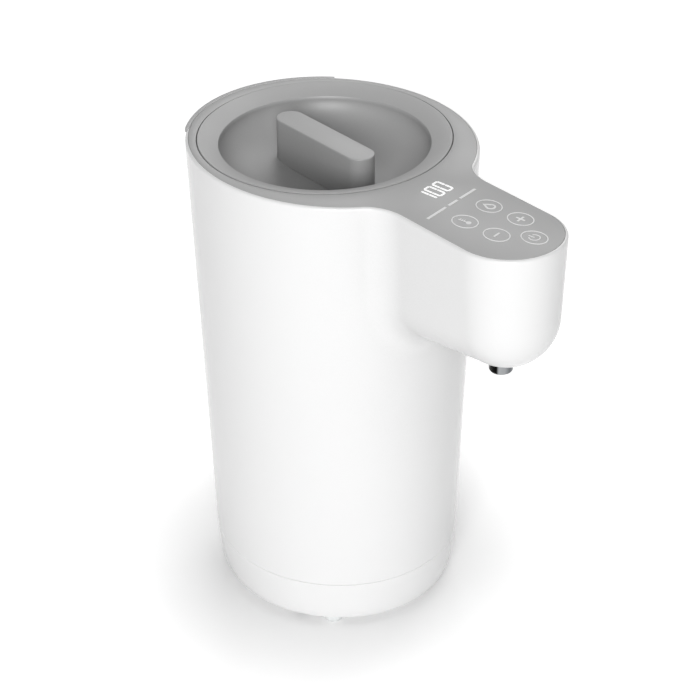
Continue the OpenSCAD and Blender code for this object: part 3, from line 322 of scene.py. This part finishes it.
def even_out(p, edges, rounds):
    """Moves each point halfway to the mean of its neighbours."""
    count = np.bincount(edges.ravel(), minlength=len(p))[:, None]
    for _ in range(rounds):
        total = np.zeros_like(p)
        np.add.at(total, edges[:, 0], p[edges[:, 1]])
        np.add.at(total, edges[:, 1], p[edges[:, 0]])
        p = 0.5 * p + 0.5 * total / count
    return p


points = np.empty(3 * len(shell.data.vertices))
shell.data.vertices.foreach_get("co", points)
points = points.reshape(-1, 3) / MM
edges = neighbours(shell.data)
for _ in range(12):
    points = settle(even_out(points, edges, 8), 2)
points = settle(points, 4)
shell.data.vertices.foreach_set("co", (points * MM).ravel())
walls = (points[:, 2] > seam_h) & (points[:, 2] < deck_h)
print("walls off the surface by", round(float(np.abs(filleted(points[walls])).max()), 3), "mm")

# %% Cut the ends flat, and turn in the rim at the top
only(shell)
bpy.ops.object.mode_set(mode="EDIT")
for height, above in ((seam_h, False), (deck_h - rim_r, True)):
    bpy.ops.mesh.select_all(action="SELECT")
    bpy.ops.mesh.bisect(plane_co=(0, 0, height * MM), plane_no=(0, 0, 1), clear_inner=not above,
                        clear_outer=above)
bpy.ops.mesh.select_all(action="SELECT")
bpy.ops.mesh.remove_doubles(threshold=0.00015)
bpy.ops.object.mode_set(mode="OBJECT")


def ordered_loop(piece, height):
    """The points of the open edge at a height, in order, in millimetres."""
    mesh = bmesh.new()
    mesh.from_mesh(piece.data)
    links = {}
    for edge in mesh.edges:
        if edge.is_boundary and all(abs(v.co.z / MM - height) < 0.4 for v in edge.verts):
            a, b = (v.index for v in edge.verts)
            links.setdefault(a, []).append(b)
            links.setdefault(b, []).append(a)
    first = min(links)
    order, before, here = [first], None, first
    while True:
        step = [n for n in links[here] if n != before][0]
        if step == first:
            break
        order.append(step)
        before, here = here, step
    mesh.verts.ensure_lookup_table()
    loop = np.array([mesh.verts[i].co[:] for i in order]) / MM
    loop[:, 2] = height
    mesh.free()
    return order, loop


def outward(loop):
    """Level outward direction at each point of a loop."""
    n = slope_of(filleted, loop, 0.05)
    n[:, 2] = 0
    return n / np.linalg.norm(n, axis=1)[:, None]


def add_rings(piece, order, loop, steps):
    """Adds rings of faces to a loop: each step is (inset, height) in millimetres."""
    n = outward(loop)
    mesh = bmesh.new()
    mesh.from_mesh(piece.data)
    mesh.verts.ensure_lookup_table()
    last = [mesh.verts[i] for i in order]
    for vert, place in zip(last, loop):
        vert.co = place * MM
    for inset, height in steps:
        place = loop - n * inset
        ring = [mesh.verts.new((p[0] * MM, p[1] * MM, height * MM)) for p in place]
        for i in range(len(ring)):
            j = (i + 1) % len(ring)
            mesh.faces.new((last[i], last[j], ring[j], ring[i]))
        last = ring
    mesh.to_mesh(piece.data)
    mesh.free()


rim_order, rim_loop = ordered_loop(shell, deck_h - rim_r)
inner_down, inner_up = 40, 60  # how far the wall's inner face runs from the rim and the seam
rim_steps = [(rim_r * (1 - math.cos(math.radians(t))), deck_h - rim_r * (1 - math.sin(math.radians(t))))
             for t in (18, 36, 54, 72, 90)]
rim_steps += [(rim_r + 0.02, deck_h - 0.1), (rim_r + 0.02, deck_h - deck_t),
              (wall, deck_h - deck_t), (wall, deck_h - inner_down)]
add_rings(shell, rim_order, rim_loop, rim_steps)
seam_order, seam_loop = ordered_loop(shell, seam_h)
add_rings(shell, seam_order, seam_loop, [(0.1, seam_h), (wall, seam_h), (wall, seam_h + inner_up)])
print("rim of", len(rim_loop), "points, seam of", len(seam_loop))

# %% [markdown]
# The deck panel drops into the rim, the grey lip sits over its rear edge, the mains inlet
# shows at the back, and the nozzle comes out of the belly. Each needs its opening in the shell.

# %% Openings in the shell
nozzle_reach = 116.4  # from the body's axis forward to the nozzle
nozzle_hole_r, nozzle_hole_z, nozzle_hole_deep = 6.6, 175, 30
inlet_size, inlet_y, inlet_z, inlet_deep = (27.6, 20.0), 64, 43.2, 20
lip_in, lip_out, lip_h, lip_span = -1.2, 0.9, 2.0, 43  # margins from the deck's edge; degrees
slot_in, slot_play, slot_past = -1.25, 0.1, 3  # play under the lip, and how far the cut goes past


def oval_band(inner, outer, span, low, high, steps=48):
    """A band of the deck's oval at the rear, between two margins from the outer edge."""
    piece, mesh = blank_piece()
    turns = [math.radians(90 - span + 2 * span * i / steps) for i in range(steps + 1)]
    places = [((body_half[0] + side) * math.cos(t), (body_half[1] + side) * math.sin(t))
              for side, way in ((outer, turns), (inner, turns[::-1])) for t in way]
    verts = [mesh.verts.new((x * MM, y * MM, low * MM)) for x, y in places]
    mesh.faces.new(verts)
    bmesh.update_edit_mesh(piece.data)
    bpy.ops.mesh.select_all(action="SELECT")
    draw_up(high - low)
    bpy.ops.mesh.select_all(action="SELECT")
    bpy.ops.mesh.normals_make_consistent(inside=False)
    bpy.ops.object.mode_set(mode="OBJECT")
    return piece


start()
bpy.ops.mesh.primitive_cylinder_add(vertices=96, radius=nozzle_hole_r * MM,
                                    depth=nozzle_hole_deep * MM,
                                    location=(0, -nozzle_reach * MM, nozzle_hole_z * MM))
cut_away(shell, bpy.context.object)
start()
bpy.ops.mesh.primitive_cube_add(size=1, location=(0, inlet_y * MM, inlet_z * MM))
bpy.context.object.scale = (inlet_size[0] * MM, inlet_deep * MM, inlet_size[1] * MM)
cut_away(shell, bpy.context.object)
cut_away(shell, oval_band(slot_in, slot_past, lip_span + 0.15, deck_h - lip_h - slot_play,
                          deck_h + slot_past))
shell.location.y = axis_y
finish_piece(shell, "shell_moulding", "housing", ["outer_shell"])

# %% [markdown]
# ## The grey lip at the rear
# A plain grey strip covers the rear edge of the deck. It is a band of the same oval, drawn out
# upwards, with its edges softened by a small bevel.

# %% Rear lip
lip = oval_band(lip_in, lip_out, lip_span, deck_h - lip_h, deck_h)
bevel_edges(lip, 0.3)
lip.location.y = axis_y
finish_piece(lip, "rear_edge_lip", "housing", ["rear_lip"])

# %% [markdown]
# ## The deck panel
# The touch panel is a flat grey plate that fills the rim exactly. Its outline is therefore
# taken from the rim made above, and its hole is a circle. The ring between both loops is
# filled with triangles, drawn down to the plate's thickness, and its edges get a fine bevel.

# %% Deck panel
start()
bpy.ops.mesh.primitive_circle_add(vertices=200, radius=(lid_r + 0.3) * MM,
                                  location=(0, tank_y * MM, 0))
deck = bpy.context.object
bpy.ops.object.transform_apply(location=True)
bpy.ops.object.mode_set(mode="EDIT")
mesh = bmesh.from_edit_mesh(deck.data)
edge_loop = rim_loop - outward(rim_loop) * (rim_r + 0.12)
verts = [mesh.verts.new((p[0] * MM, p[1] * MM, 0)) for p in edge_loop[::2]]
for a, b in zip(verts, verts[1:] + verts[:1]):
    mesh.edges.new((a, b))
bmesh.update_edit_mesh(deck.data)
bpy.ops.mesh.select_all(action="SELECT")
bpy.ops.mesh.fill(use_beauty=True)
bpy.ops.mesh.select_all(action="SELECT")
draw_up(-deck_t)
bpy.ops.object.mode_set(mode="OBJECT")
deck.location = (0, axis_y, deck_h * MM)
bevel_edges(deck, 0.18, segments=2)
finish_piece(deck, "touch_panel", "housing", ["deck_panel"])

# %% [markdown]
# ## The base cover
# The base is a shallow oval cup whose wall draws in towards the floor in one long curve. A
# circle is stretched to the bottom's size and extruded ring by ring, and each ring is resized.
# The upper rings form a narrow groove, the fine line that the photograph shows at the seam.

# %% Base cover
foot_h, cover_inset, cover_top = 3.0, 4.8, 26.0
curve_top, curve_fall = 33.8, 30.8  # where the wall's curve would stand upright, and its fall
groove_h, groove_deep = 0.5, 1.1


def draw_in(z):
    """How far the cover's wall lies inside the seam's outline at a height."""
    return cover_inset * (1 - math.sqrt(max(0.0, 1 - ((curve_top - z) / curve_fall) ** 2)))


rings = [(draw_in(foot_h) + 1.6, foot_h), (draw_in(foot_h) + 0.7, foot_h + 0.15),
         (draw_in(foot_h) + 0.2, foot_h + 0.6)]
rings += [(draw_in(z), z) for z in (4.2, 6, 8, 10, 12.5, 15, 18, 21, 24, cover_top)]
rings += [(draw_in(cover_top) + 0.05, seam_h - groove_h - 0.15),
          (draw_in(cover_top) + 0.25, seam_h - groove_h),
          (groove_deep, seam_h - groove_h), (groove_deep, seam_h - 0.02),
          (wall, seam_h - 0.02), (wall + cover_inset, foot_h + wall)]
start()
bpy.ops.mesh.primitive_circle_add(vertices=200, radius=1, fill_type="NGON")
cover = bpy.context.object
bpy.ops.object.mode_set(mode="EDIT")
bpy.ops.mesh.select_all(action="SELECT")
here = (seam_half[0] - rings[0][0], seam_half[1] - rings[0][0])
bpy.ops.transform.resize(value=(here[0] * MM, here[1] * MM, 1))
bpy.ops.transform.translate(value=(0, 0, rings[0][1] * MM))
for (_, z0), (inset, z1) in zip(rings, rings[1:]):
    new = (seam_half[0] - inset, seam_half[1] - inset)
    draw_up(z1 - z0)
    bpy.ops.transform.resize(value=(new[0] / here[0], new[1] / here[1], 1))
    here = new
bpy.ops.object.mode_set(mode="OBJECT")
well_half, well_in, well_angle = (57.3, 60), 6, math.radians(30)  # wells of the four screws
well_x = (well_half[0] - well_in) * math.cos(well_angle)
well_y = (well_half[1] - well_in) * math.sin(well_angle)
for sx, sy in corners:
    start()
    bpy.ops.mesh.primitive_cylinder_add(vertices=48, radius=3 * MM, depth=6 * MM,
                                        location=(sx * well_x * MM, sy * well_y * MM, foot_h * MM))
    cut_away(cover, bpy.context.object)
cover.location.y = axis_y
finish_piece(cover, "base_moulding", "housing", ["base_cover"])

# %% [markdown]
# ## The feet
# Four pads of milky rubber with soft edges, joined, because the CAD model has them as one node.

# %% Feet
foot_x, foot_y, foot_r = 34.0, 39.0, 4.6
feet = []
for sx, sy in corners:
    start()
    bpy.ops.mesh.primitive_cylinder_add(vertices=64, radius=foot_r * MM, depth=foot_h * MM,
                                        location=(sx * foot_x * MM, sy * foot_y * MM, foot_h * MM / 2))
    foot = bpy.context.object
    bevel_edges(foot, 0.5)
    feet.append(foot)
only(feet[0])
for foot in feet:
    foot.select_set(True)
bpy.ops.object.join()
pads = bpy.context.object
pads.location.y += axis_y
finish_piece(pads, "soft_feet", "housing", ["rubber_feet"])

# %% [markdown]
# ## The lid
# The lid is a turned form: a rim that slopes inwards, then one smooth bowl. It is drawn as
# half a cross-section and spun, like a pot on a wheel. Its skirt below fits inside the tank.

# %% Lid bowl
bowl_r, bowl_lip, bowl_depth, bowl_floor_r, bowl_t = 49.0, 3.3, 22.0, 15.0, 2.4
plug_r, plug_t, plug_low, plug_high, shoulder = 52.5, 2, 211.1, 226.0, 233.2  # the skirt below
round_r, round_h = bowl_r - bowl_floor_r, bowl_depth - bowl_lip
curve = [(bowl_floor_r + round_r * math.cos(math.radians(t)),
          lid_top - bowl_lip - round_h * math.sin(math.radians(t))) for t in range(0, 91, 5)]
top_side = [(lid_r, lid_top - 0.6), (lid_r - 0.1, lid_top - 0.25), (lid_r - 0.4, lid_top - 0.03),
            (lid_r - 1.0, lid_top - 0.08), (bowl_r + 0.9, lid_top - bowl_lip + 0.32),
            (bowl_r + 0.3, lid_top - bowl_lip + 0.02)]
top_side += [(curve[0][0] - 0.15, curve[0][1] - 0.9)] + curve[1:] + [(0.0, lid_top - bowl_depth)]
under_side = [(0.0, lid_top - bowl_depth - bowl_t)]
under_side += [(r, z - bowl_t) for r, z in reversed(curve)]
under_side += [(plug_r - plug_t, plug_high), (plug_r - plug_t, plug_low), (plug_r, plug_low),
               (plug_r, shoulder), (lid_r, shoulder)]
bowl = spin_profile(top_side + under_side, steps=192, centre=(0.0, axis_y + tank_y * MM))
finish_piece(bowl, "lid_dish", "lid", ["lid_bowl"])

# %% [markdown]
# ## The grip bar
# The bar across the bowl is what the fingers hold. It has straight sides, half-round ends and
# crisp edges, so a circle is cut in two, stretched, extruded and bevelled.

# %% Grip bar
grip_l, grip_w, grip_sink = 64.0, 13.6, 0.2
start()
bpy.ops.mesh.primitive_circle_add(vertices=96, radius=grip_w / 2 * MM, fill_type="NGON")
grip = bpy.context.object
for v in grip.data.vertices:
    v.co.y += math.copysign((grip_l - grip_w) / 2 * MM, v.co.y) if abs(v.co.y) > 1e-6 else 0
bpy.ops.object.mode_set(mode="EDIT")
bpy.ops.mesh.select_all(action="SELECT")
draw_up(bowl_depth + grip_sink)
bpy.ops.object.mode_set(mode="OBJECT")
grip.location = (0, axis_y + tank_y * MM, (lid_top - bowl_depth - grip_sink) * MM)
bevel_edges(grip, 0.6)
finish_piece(grip, "grip_bar", "lid", ["lid_grip"])

# %% [markdown]
# ## The nozzle
# A short chromed tube with a rounded lower lip, spun from its section.

# %% Nozzle
tip_low, tip_top, tip_r, tip_bore, tip_round = 168.1, 186.6, 5.4, 3.0, 1.4
section = arc((tip_r - tip_round, tip_low + tip_round), tip_round, -90, 0)
section += [(tip_r, tip_top), (tip_bore, tip_top)]
section += [(tip_bore, tip_low + 0.7), (tip_bore + 0.2, tip_low + 0.25)]
nozzle = spin_profile(section, steps=96, centre=(0.0, axis_y - nozzle_reach * MM))
finish_piece(nozzle, "chromed_spout", "housing", ["nozzle_tip"])

# %% [markdown]
# ## Materials
# Colours are written as they look on a screen, in sRGB hex, and one function turns them into
# the linear values that the shader wants. Another adds a node with its settings and links.

# %% Colour and node helpers
def linear(hex_colour):
    """The shader's linear red, green, blue and alpha for an sRGB hex colour."""
    parts = [int(hex_colour[i : i + 2], 16) / 255 for i in (1, 3, 5)]
    return [c / 12.92 if c <= 0.04045 else ((c + 0.055) / 1.055) ** 2.4 for c in parts] + [1.0]


def add_node(tree, kind, settings=None, inputs=None):
    """Adds a node, sets its properties, and sets or links its inputs."""
    new = tree.nodes.new(kind)
    for name, value in (settings or {}).items():
        setattr(new, name, value)
    for name, value in (inputs or {}).items():
        if isinstance(value, bpy.types.NodeSocket):
            tree.links.new(value, new.inputs[name])
        else:
            new.inputs[name].default_value = value
    return new


def new_material(name, colour, **sockets):
    """A named material with its constants on the shader's own sockets."""
    material = bpy.data.materials.new(name)
    material.use_nodes = True
    shader = material.node_tree.nodes["Principled BSDF"]
    shader.inputs["Base Color"].default_value = linear(colour)
    for socket, value in sockets.items():
        shader.inputs[socket.replace("_", " ")].default_value = value
    print("material", name)
    return material, material.node_tree, shader


def grain(tree, shader, size_mm, depth, rough_low, rough_high):
    """Fine bumps of a real size in millimetres, with a little change in roughness."""
    place = add_node(tree, "ShaderNodeTexCoord")
    mapping = add_node(tree, "ShaderNodeMapping", inputs={"Vector": place.outputs["Object"],
                                                          "Scale": [1 / (size_mm * MM)] * 3})
    noise = add_node(tree, "ShaderNodeTexNoise", inputs={
        "Vector": mapping.outputs["Vector"], "Scale": 1.0, "Detail": 3.0, "Roughness": 0.55})
    bump = add_node(tree, "ShaderNodeBump", inputs={
        "Height": noise.outputs["Fac"], "Strength": 0.35, "Distance": depth * MM})
    tree.links.new(bump.outputs["Normal"], shader.inputs["Normal"])
    patches = add_node(tree, "ShaderNodeTexNoise", inputs={
        "Vector": place.outputs["Object"], "Scale": 30.0, "Detail": 2.0})
    rough = add_node(tree, "ShaderNodeMapRange", inputs={
        "Value": patches.outputs["Fac"], "From Min": 0.3, "From Max": 0.7, "To Min": rough_low,
        "To Max": rough_high})
    tree.links.new(rough.outputs["Result"], shader.inputs["Roughness"])


def paint_hollow_shade(tree, shader, reach_mm, deep, bare, **settings):
    """Paints shade into the colour where other faces lie near; both ends are (position, colour)."""
    shade = add_node(tree, "ShaderNodeAmbientOcclusion", {"samples": 8, **settings},
                     {"Distance": reach_mm * MM})
    painted_shade_ramp = add_node(tree, "ShaderNodeValToRGB", inputs={"Fac": shade.outputs["AO"]})
    for end, (position, colour) in enumerate((deep, bare)):
        painted_shade_ramp.color_ramp.elements[end].position = position
        painted_shade_ramp.color_ramp.elements[end].color = linear(colour)
    tree.links.new(painted_shade_ramp.outputs["Color"], shader.inputs["Base Color"])


def about_axis(tree, ahead=0.0):
    """Places measured from the body's axis, or from an upright axis that many metres ahead."""
    place = add_node(tree, "ShaderNodeTexCoord")
    centred = add_node(tree, "ShaderNodeMapping", {"vector_type": "POINT"},
                       {"Vector": place.outputs["Object"], "Location": (0, ahead - axis_y, 0)})
    return centred.outputs["Vector"]


def dress(material, piece):
    piece.data.materials.clear()
    piece.data.materials.append(material)


# %% [markdown]
# The shell and the base are ABS moulded in a polished tool: an opaque, neutral white, smooth
# enough to show soft lamps as broad highlights, with a faint waviness from the mould. Where its
# own faces lie near each other, as under the arm, shade is painted into the white a little: the
# bright studio would otherwise wash those places out.

# %% White ABS
white_abs, tree, shader = new_material("white_polished_ABS", "#F4F4F4", IOR=1.53)
grain(tree, shader, 1.6, 0.01, 0.16, 0.22)
# painted shade: the white greys towards #A6A6A6 where its own faces lie near
paint_hollow_shade(tree, shader, 90, (0.35, "#A6A6A6"), (0.97, "#F4F4F4"), only_local=True)

# %% [markdown]
# The touch panel and the lid are ABS from a finely eroded tool: mid grey, with a dull sheen
# that spreads each highlight over the whole face. The bowl and the grip's foot get painted
# shade in their colour.

# %% Grey ABS
grey_abs, tree, shader = new_material("grey_satin_ABS", "#A9A9A9", IOR=1.53)
grain(tree, shader, 0.5, 0.015, 0.4, 0.48)
# painted shade: the grey darkens towards #7E7E7E in the bowl and round the grip's foot
paint_hollow_shade(tree, shader, 45, (0.15, "#7E7E7E"), (0.95, "#B1B1B1"))

# %% [markdown]
# The marks on the panel are white ink, printed under a clear coat. The figures are lamps
# behind the panel, so they glow a little.

# %% Ink and display
ink, tree, shader = new_material("white_screen_ink", "#F6F6F6", IOR=1.5)
grain(tree, shader, 0.4, 0.005, 0.4, 0.5)
lit, tree, shader = new_material("lit_display_segments", "#FFFFFF", IOR=1.5, Emission_Strength=0.35)
shader.inputs["Emission Color"].default_value = linear("#FFFFFF")
grain(tree, shader, 0.4, 0.005, 0.4, 0.5)

# %% [markdown]
# The spout is brass with bright chrome on it: a metal with almost no roughness. A real studio
# has dark corners that such a tube mirrors as bands. This one has none, so painted reflections
# stand in: a gradient round the tube's own axis paints the dark and light bands into the
# chrome's colour where the photograph has them.

# %% Chrome
chrome, tree, shader = new_material("bright_chrome_plate", "#D9DBDD", Metallic=1.0)
grain(tree, shader, 2.0, 0.005, 0.05, 0.09)
turned = add_node(tree, "ShaderNodeMapping", {"vector_type": "POINT"},
                  {"Vector": about_axis(tree, nozzle_reach * MM),
                   "Rotation": (0, 0, math.radians(129))})
around = add_node(tree, "ShaderNodeTexGradient", {"gradient_type": "RADIAL"},
                  {"Vector": turned.outputs["Vector"]})
# painted reflections: the ramp's dark and light bands become the chrome's colour
painted_reflection_bands = add_node(tree, "ShaderNodeValToRGB", inputs={"Fac": around.outputs["Fac"]})
painted_reflection_bands.color_ramp.elements[0].color = painted_reflection_bands.color_ramp.elements[1].color = linear("#8A8C8E")
for position, colour in ((0.2, "#0A0A0A"), (0.43, "#0A0A0A"), (0.46, "#A0A2A4"), (0.54, "#96989A"),
                         (0.61, "#64676A"), (0.8, "#7A7C7E")):
    band = painted_reflection_bands.color_ramp.elements.new(position)
    band.color = linear(colour)
tree.links.new(painted_reflection_bands.outputs["Color"], shader.inputs["Base Color"])

# %% [markdown]
# The feet are silicone rubber, milky and slightly see-through, moulded with a dull skin.

# %% Clear-white silicone
silicone, tree, shader = new_material("milky_silicone", "#E4E6E6", IOR=1.41, Subsurface_Weight=0.5)
shader.inputs["Subsurface Radius"].default_value = (0.004, 0.004, 0.004)
grain(tree, shader, 0.8, 0.02, 0.4, 0.5)

# %% [markdown]
# The pieces inside keep their CAD shapes. Each still gets the finish of its real material.

# %% Materials of the inside
inside = {
    "seal_rubber": ("milky_silicone_hose", "#D8DADA", {"IOR": 1.41}, (0.9, 0.02, 0.4, 0.5)),
    "screw_steel": ("zinc_plated_steel", "#B9BCC0", {"Metallic": 1.0}, (0.6, 0.01, 0.25, 0.35)),
    "tank_steel": ("drawn_stainless_sheet", "#C6C8CA", {"Metallic": 1.0}, (0.5, 0.01, 0.2, 0.3)),
    "heater_aluminium": ("cast_aluminium", "#C9CBCC", {"Metallic": 1.0}, (0.8, 0.03, 0.4, 0.5)),
    "element_steel": ("dull_heating_tube", "#6F7276", {"Metallic": 1.0}, (0.6, 0.02, 0.4, 0.5)),
    "inner_plastic": ("natural_polypropylene", "#D9D8D2", {"IOR": 1.49}, (0.9, 0.03, 0.45, 0.55)),
    "dark_plastic": ("black_nylon", "#1C1D1F", {"IOR": 1.53}, (0.6, 0.03, 0.4, 0.5)),
    "rotor_plastic": ("blue_acetal", "#2F5E9E", {"IOR": 1.48}, (0.6, 0.02, 0.35, 0.45)),
    "circuit_board": ("green_solder_mask", "#1F6B3A", {"IOR": 1.55}, (0.8, 0.02, 0.3, 0.4)),
    "brass_pins": ("rolled_brass", "#C9A45C", {"Metallic": 1.0}, (0.6, 0.01, 0.25, 0.35)),
    "cable_plastic": ("yellow_wire_insulation", "#C9B45A", {"IOR": 1.5}, (0.6, 0.02, 0.4, 0.5)),
}
finishes = {"grey_panel": grey_abs, "white_shell": white_abs, "white_print": ink,
            "nozzle_chrome": chrome, "feet_rubber": silicone}
for slot_name, (name, colour, sockets, skin) in inside.items():
    finishes[slot_name], tree, shader = new_material(name, colour, **sockets)
    grain(tree, shader, *skin)
for entry in frame["record"].get("subparts", []):
    if entry["node"] in frame["nodes"]:
        dress(finishes[entry["material_slot"]], frame["nodes"][entry["node"]])
if "display_digits" in frame["nodes"]:
    dress(lit, frame["nodes"]["display_digits"])
for name in ("shell_moulding", "base_moulding"):
    dress(white_abs, bpy.data.objects[name])
for name in ("touch_panel", "rear_edge_lip", "lid_dish", "grip_bar"):
    dress(grey_abs, bpy.data.objects[name])
dress(silicone, bpy.data.objects["soft_feet"])
dress(chrome, bpy.data.objects["chromed_spout"])

# %% [markdown]
# ## Studio
# A pale floor, a dim white world, and two large soft lamps: one from the front, just left of
# the camera, and one from behind, whose sheen lightens the flat faces of the deck. The camera
# and reflections see the world as white, and a floor with painted light that glows more the
# farther it lies from the machine, so floor and background meet in white. The glow is weakest
# next to the base, which leaves a painted darker ring there that deepens the shadow. On the
# machine both show only as sheen.

# %% Floor, lamps and world
def seen_directly(tree):
    """1 for what the camera sees, also in metal and gloss, and 0 for light on the object."""
    rays = add_node(tree, "ShaderNodeLightPath")
    mirrored = add_node(tree, "ShaderNodeMath", {"operation": "MAXIMUM"},
                        {0: rays.outputs["Is Glossy Ray"], 1: rays.outputs["Is Transmission Ray"]})
    both = add_node(tree, "ShaderNodeMath", {"operation": "MAXIMUM"},
                    {0: rays.outputs["Is Camera Ray"], 1: mirrored.outputs["Value"]})
    return both.outputs["Value"]


start()
bpy.ops.mesh.primitive_plane_add(size=8)
floor = bpy.context.object
floor.name = "floor"
paper, tree, shader = new_material("white_paper_floor", "#F5F5F5", IOR=1.45)
grain(tree, shader, 3.0, 0.01, 0.85, 0.95)
away = add_node(tree, "ShaderNodeVectorMath", {"operation": "LENGTH"}, {0: about_axis(tree)})
# painted light: the floor glows more with distance, leaving a painted darker ring at the base
painted_floor_light = add_node(tree, "ShaderNodeMapRange", inputs={
    "Value": away.outputs["Value"], "From Min": 0.057, "From Max": 0.125, "To Min": 0.1,
    "To Max": 0.58})
glow = add_node(tree, "ShaderNodeMath", {"operation": "MULTIPLY"},
                {0: seen_directly(tree), 1: painted_floor_light.outputs["Result"]})
tree.links.new(glow.outputs["Value"], shader.inputs["Emission Strength"])
shader.inputs["Emission Color"].default_value = linear("#FFFFFF")
dress(paper, floor)


def lamp(name, place, aim, size, power):
    """A soft lamp; places and sizes are in metres, the power in watts."""
    data = bpy.data.lights.new(name, "AREA")
    data.shape = "RECTANGLE"
    data.size, data.size_y, data.energy = size[0], size[1], power
    light = bpy.data.objects.new(name, data)
    bpy.context.collection.objects.link(light)
    light.location = place
    light.rotation_euler = (Vector(aim) - Vector(place)).to_track_quat("-Z", "Y").to_euler()
    print("lamp", name, power, "W")


lamp("front_softbox", place=(-2.85, -2.9, 1.95), aim=(0, 0, 0.12), size=(2.0, 2.0), power=152)
lamp("rear_softbox", place=(2.3, 1.6, 2.45), aim=(0, 0, 0.2), size=(2.6, 2.2), power=40)
world = bpy.data.worlds.new("white_studio")
bpy.context.scene.world = world
world.use_nodes = True
tree = world.node_tree
level = add_node(tree, "ShaderNodeMapRange", inputs={"Value": seen_directly(tree), "To Min": 0.14,
                                                     "To Max": 1.0})
tree.nodes["Background"].inputs["Color"].default_value = (1, 1, 1, 1)
tree.links.new(level.outputs["Result"], tree.nodes["Background"].inputs["Strength"])
bpy.context.scene.view_settings.view_transform = "Standard"
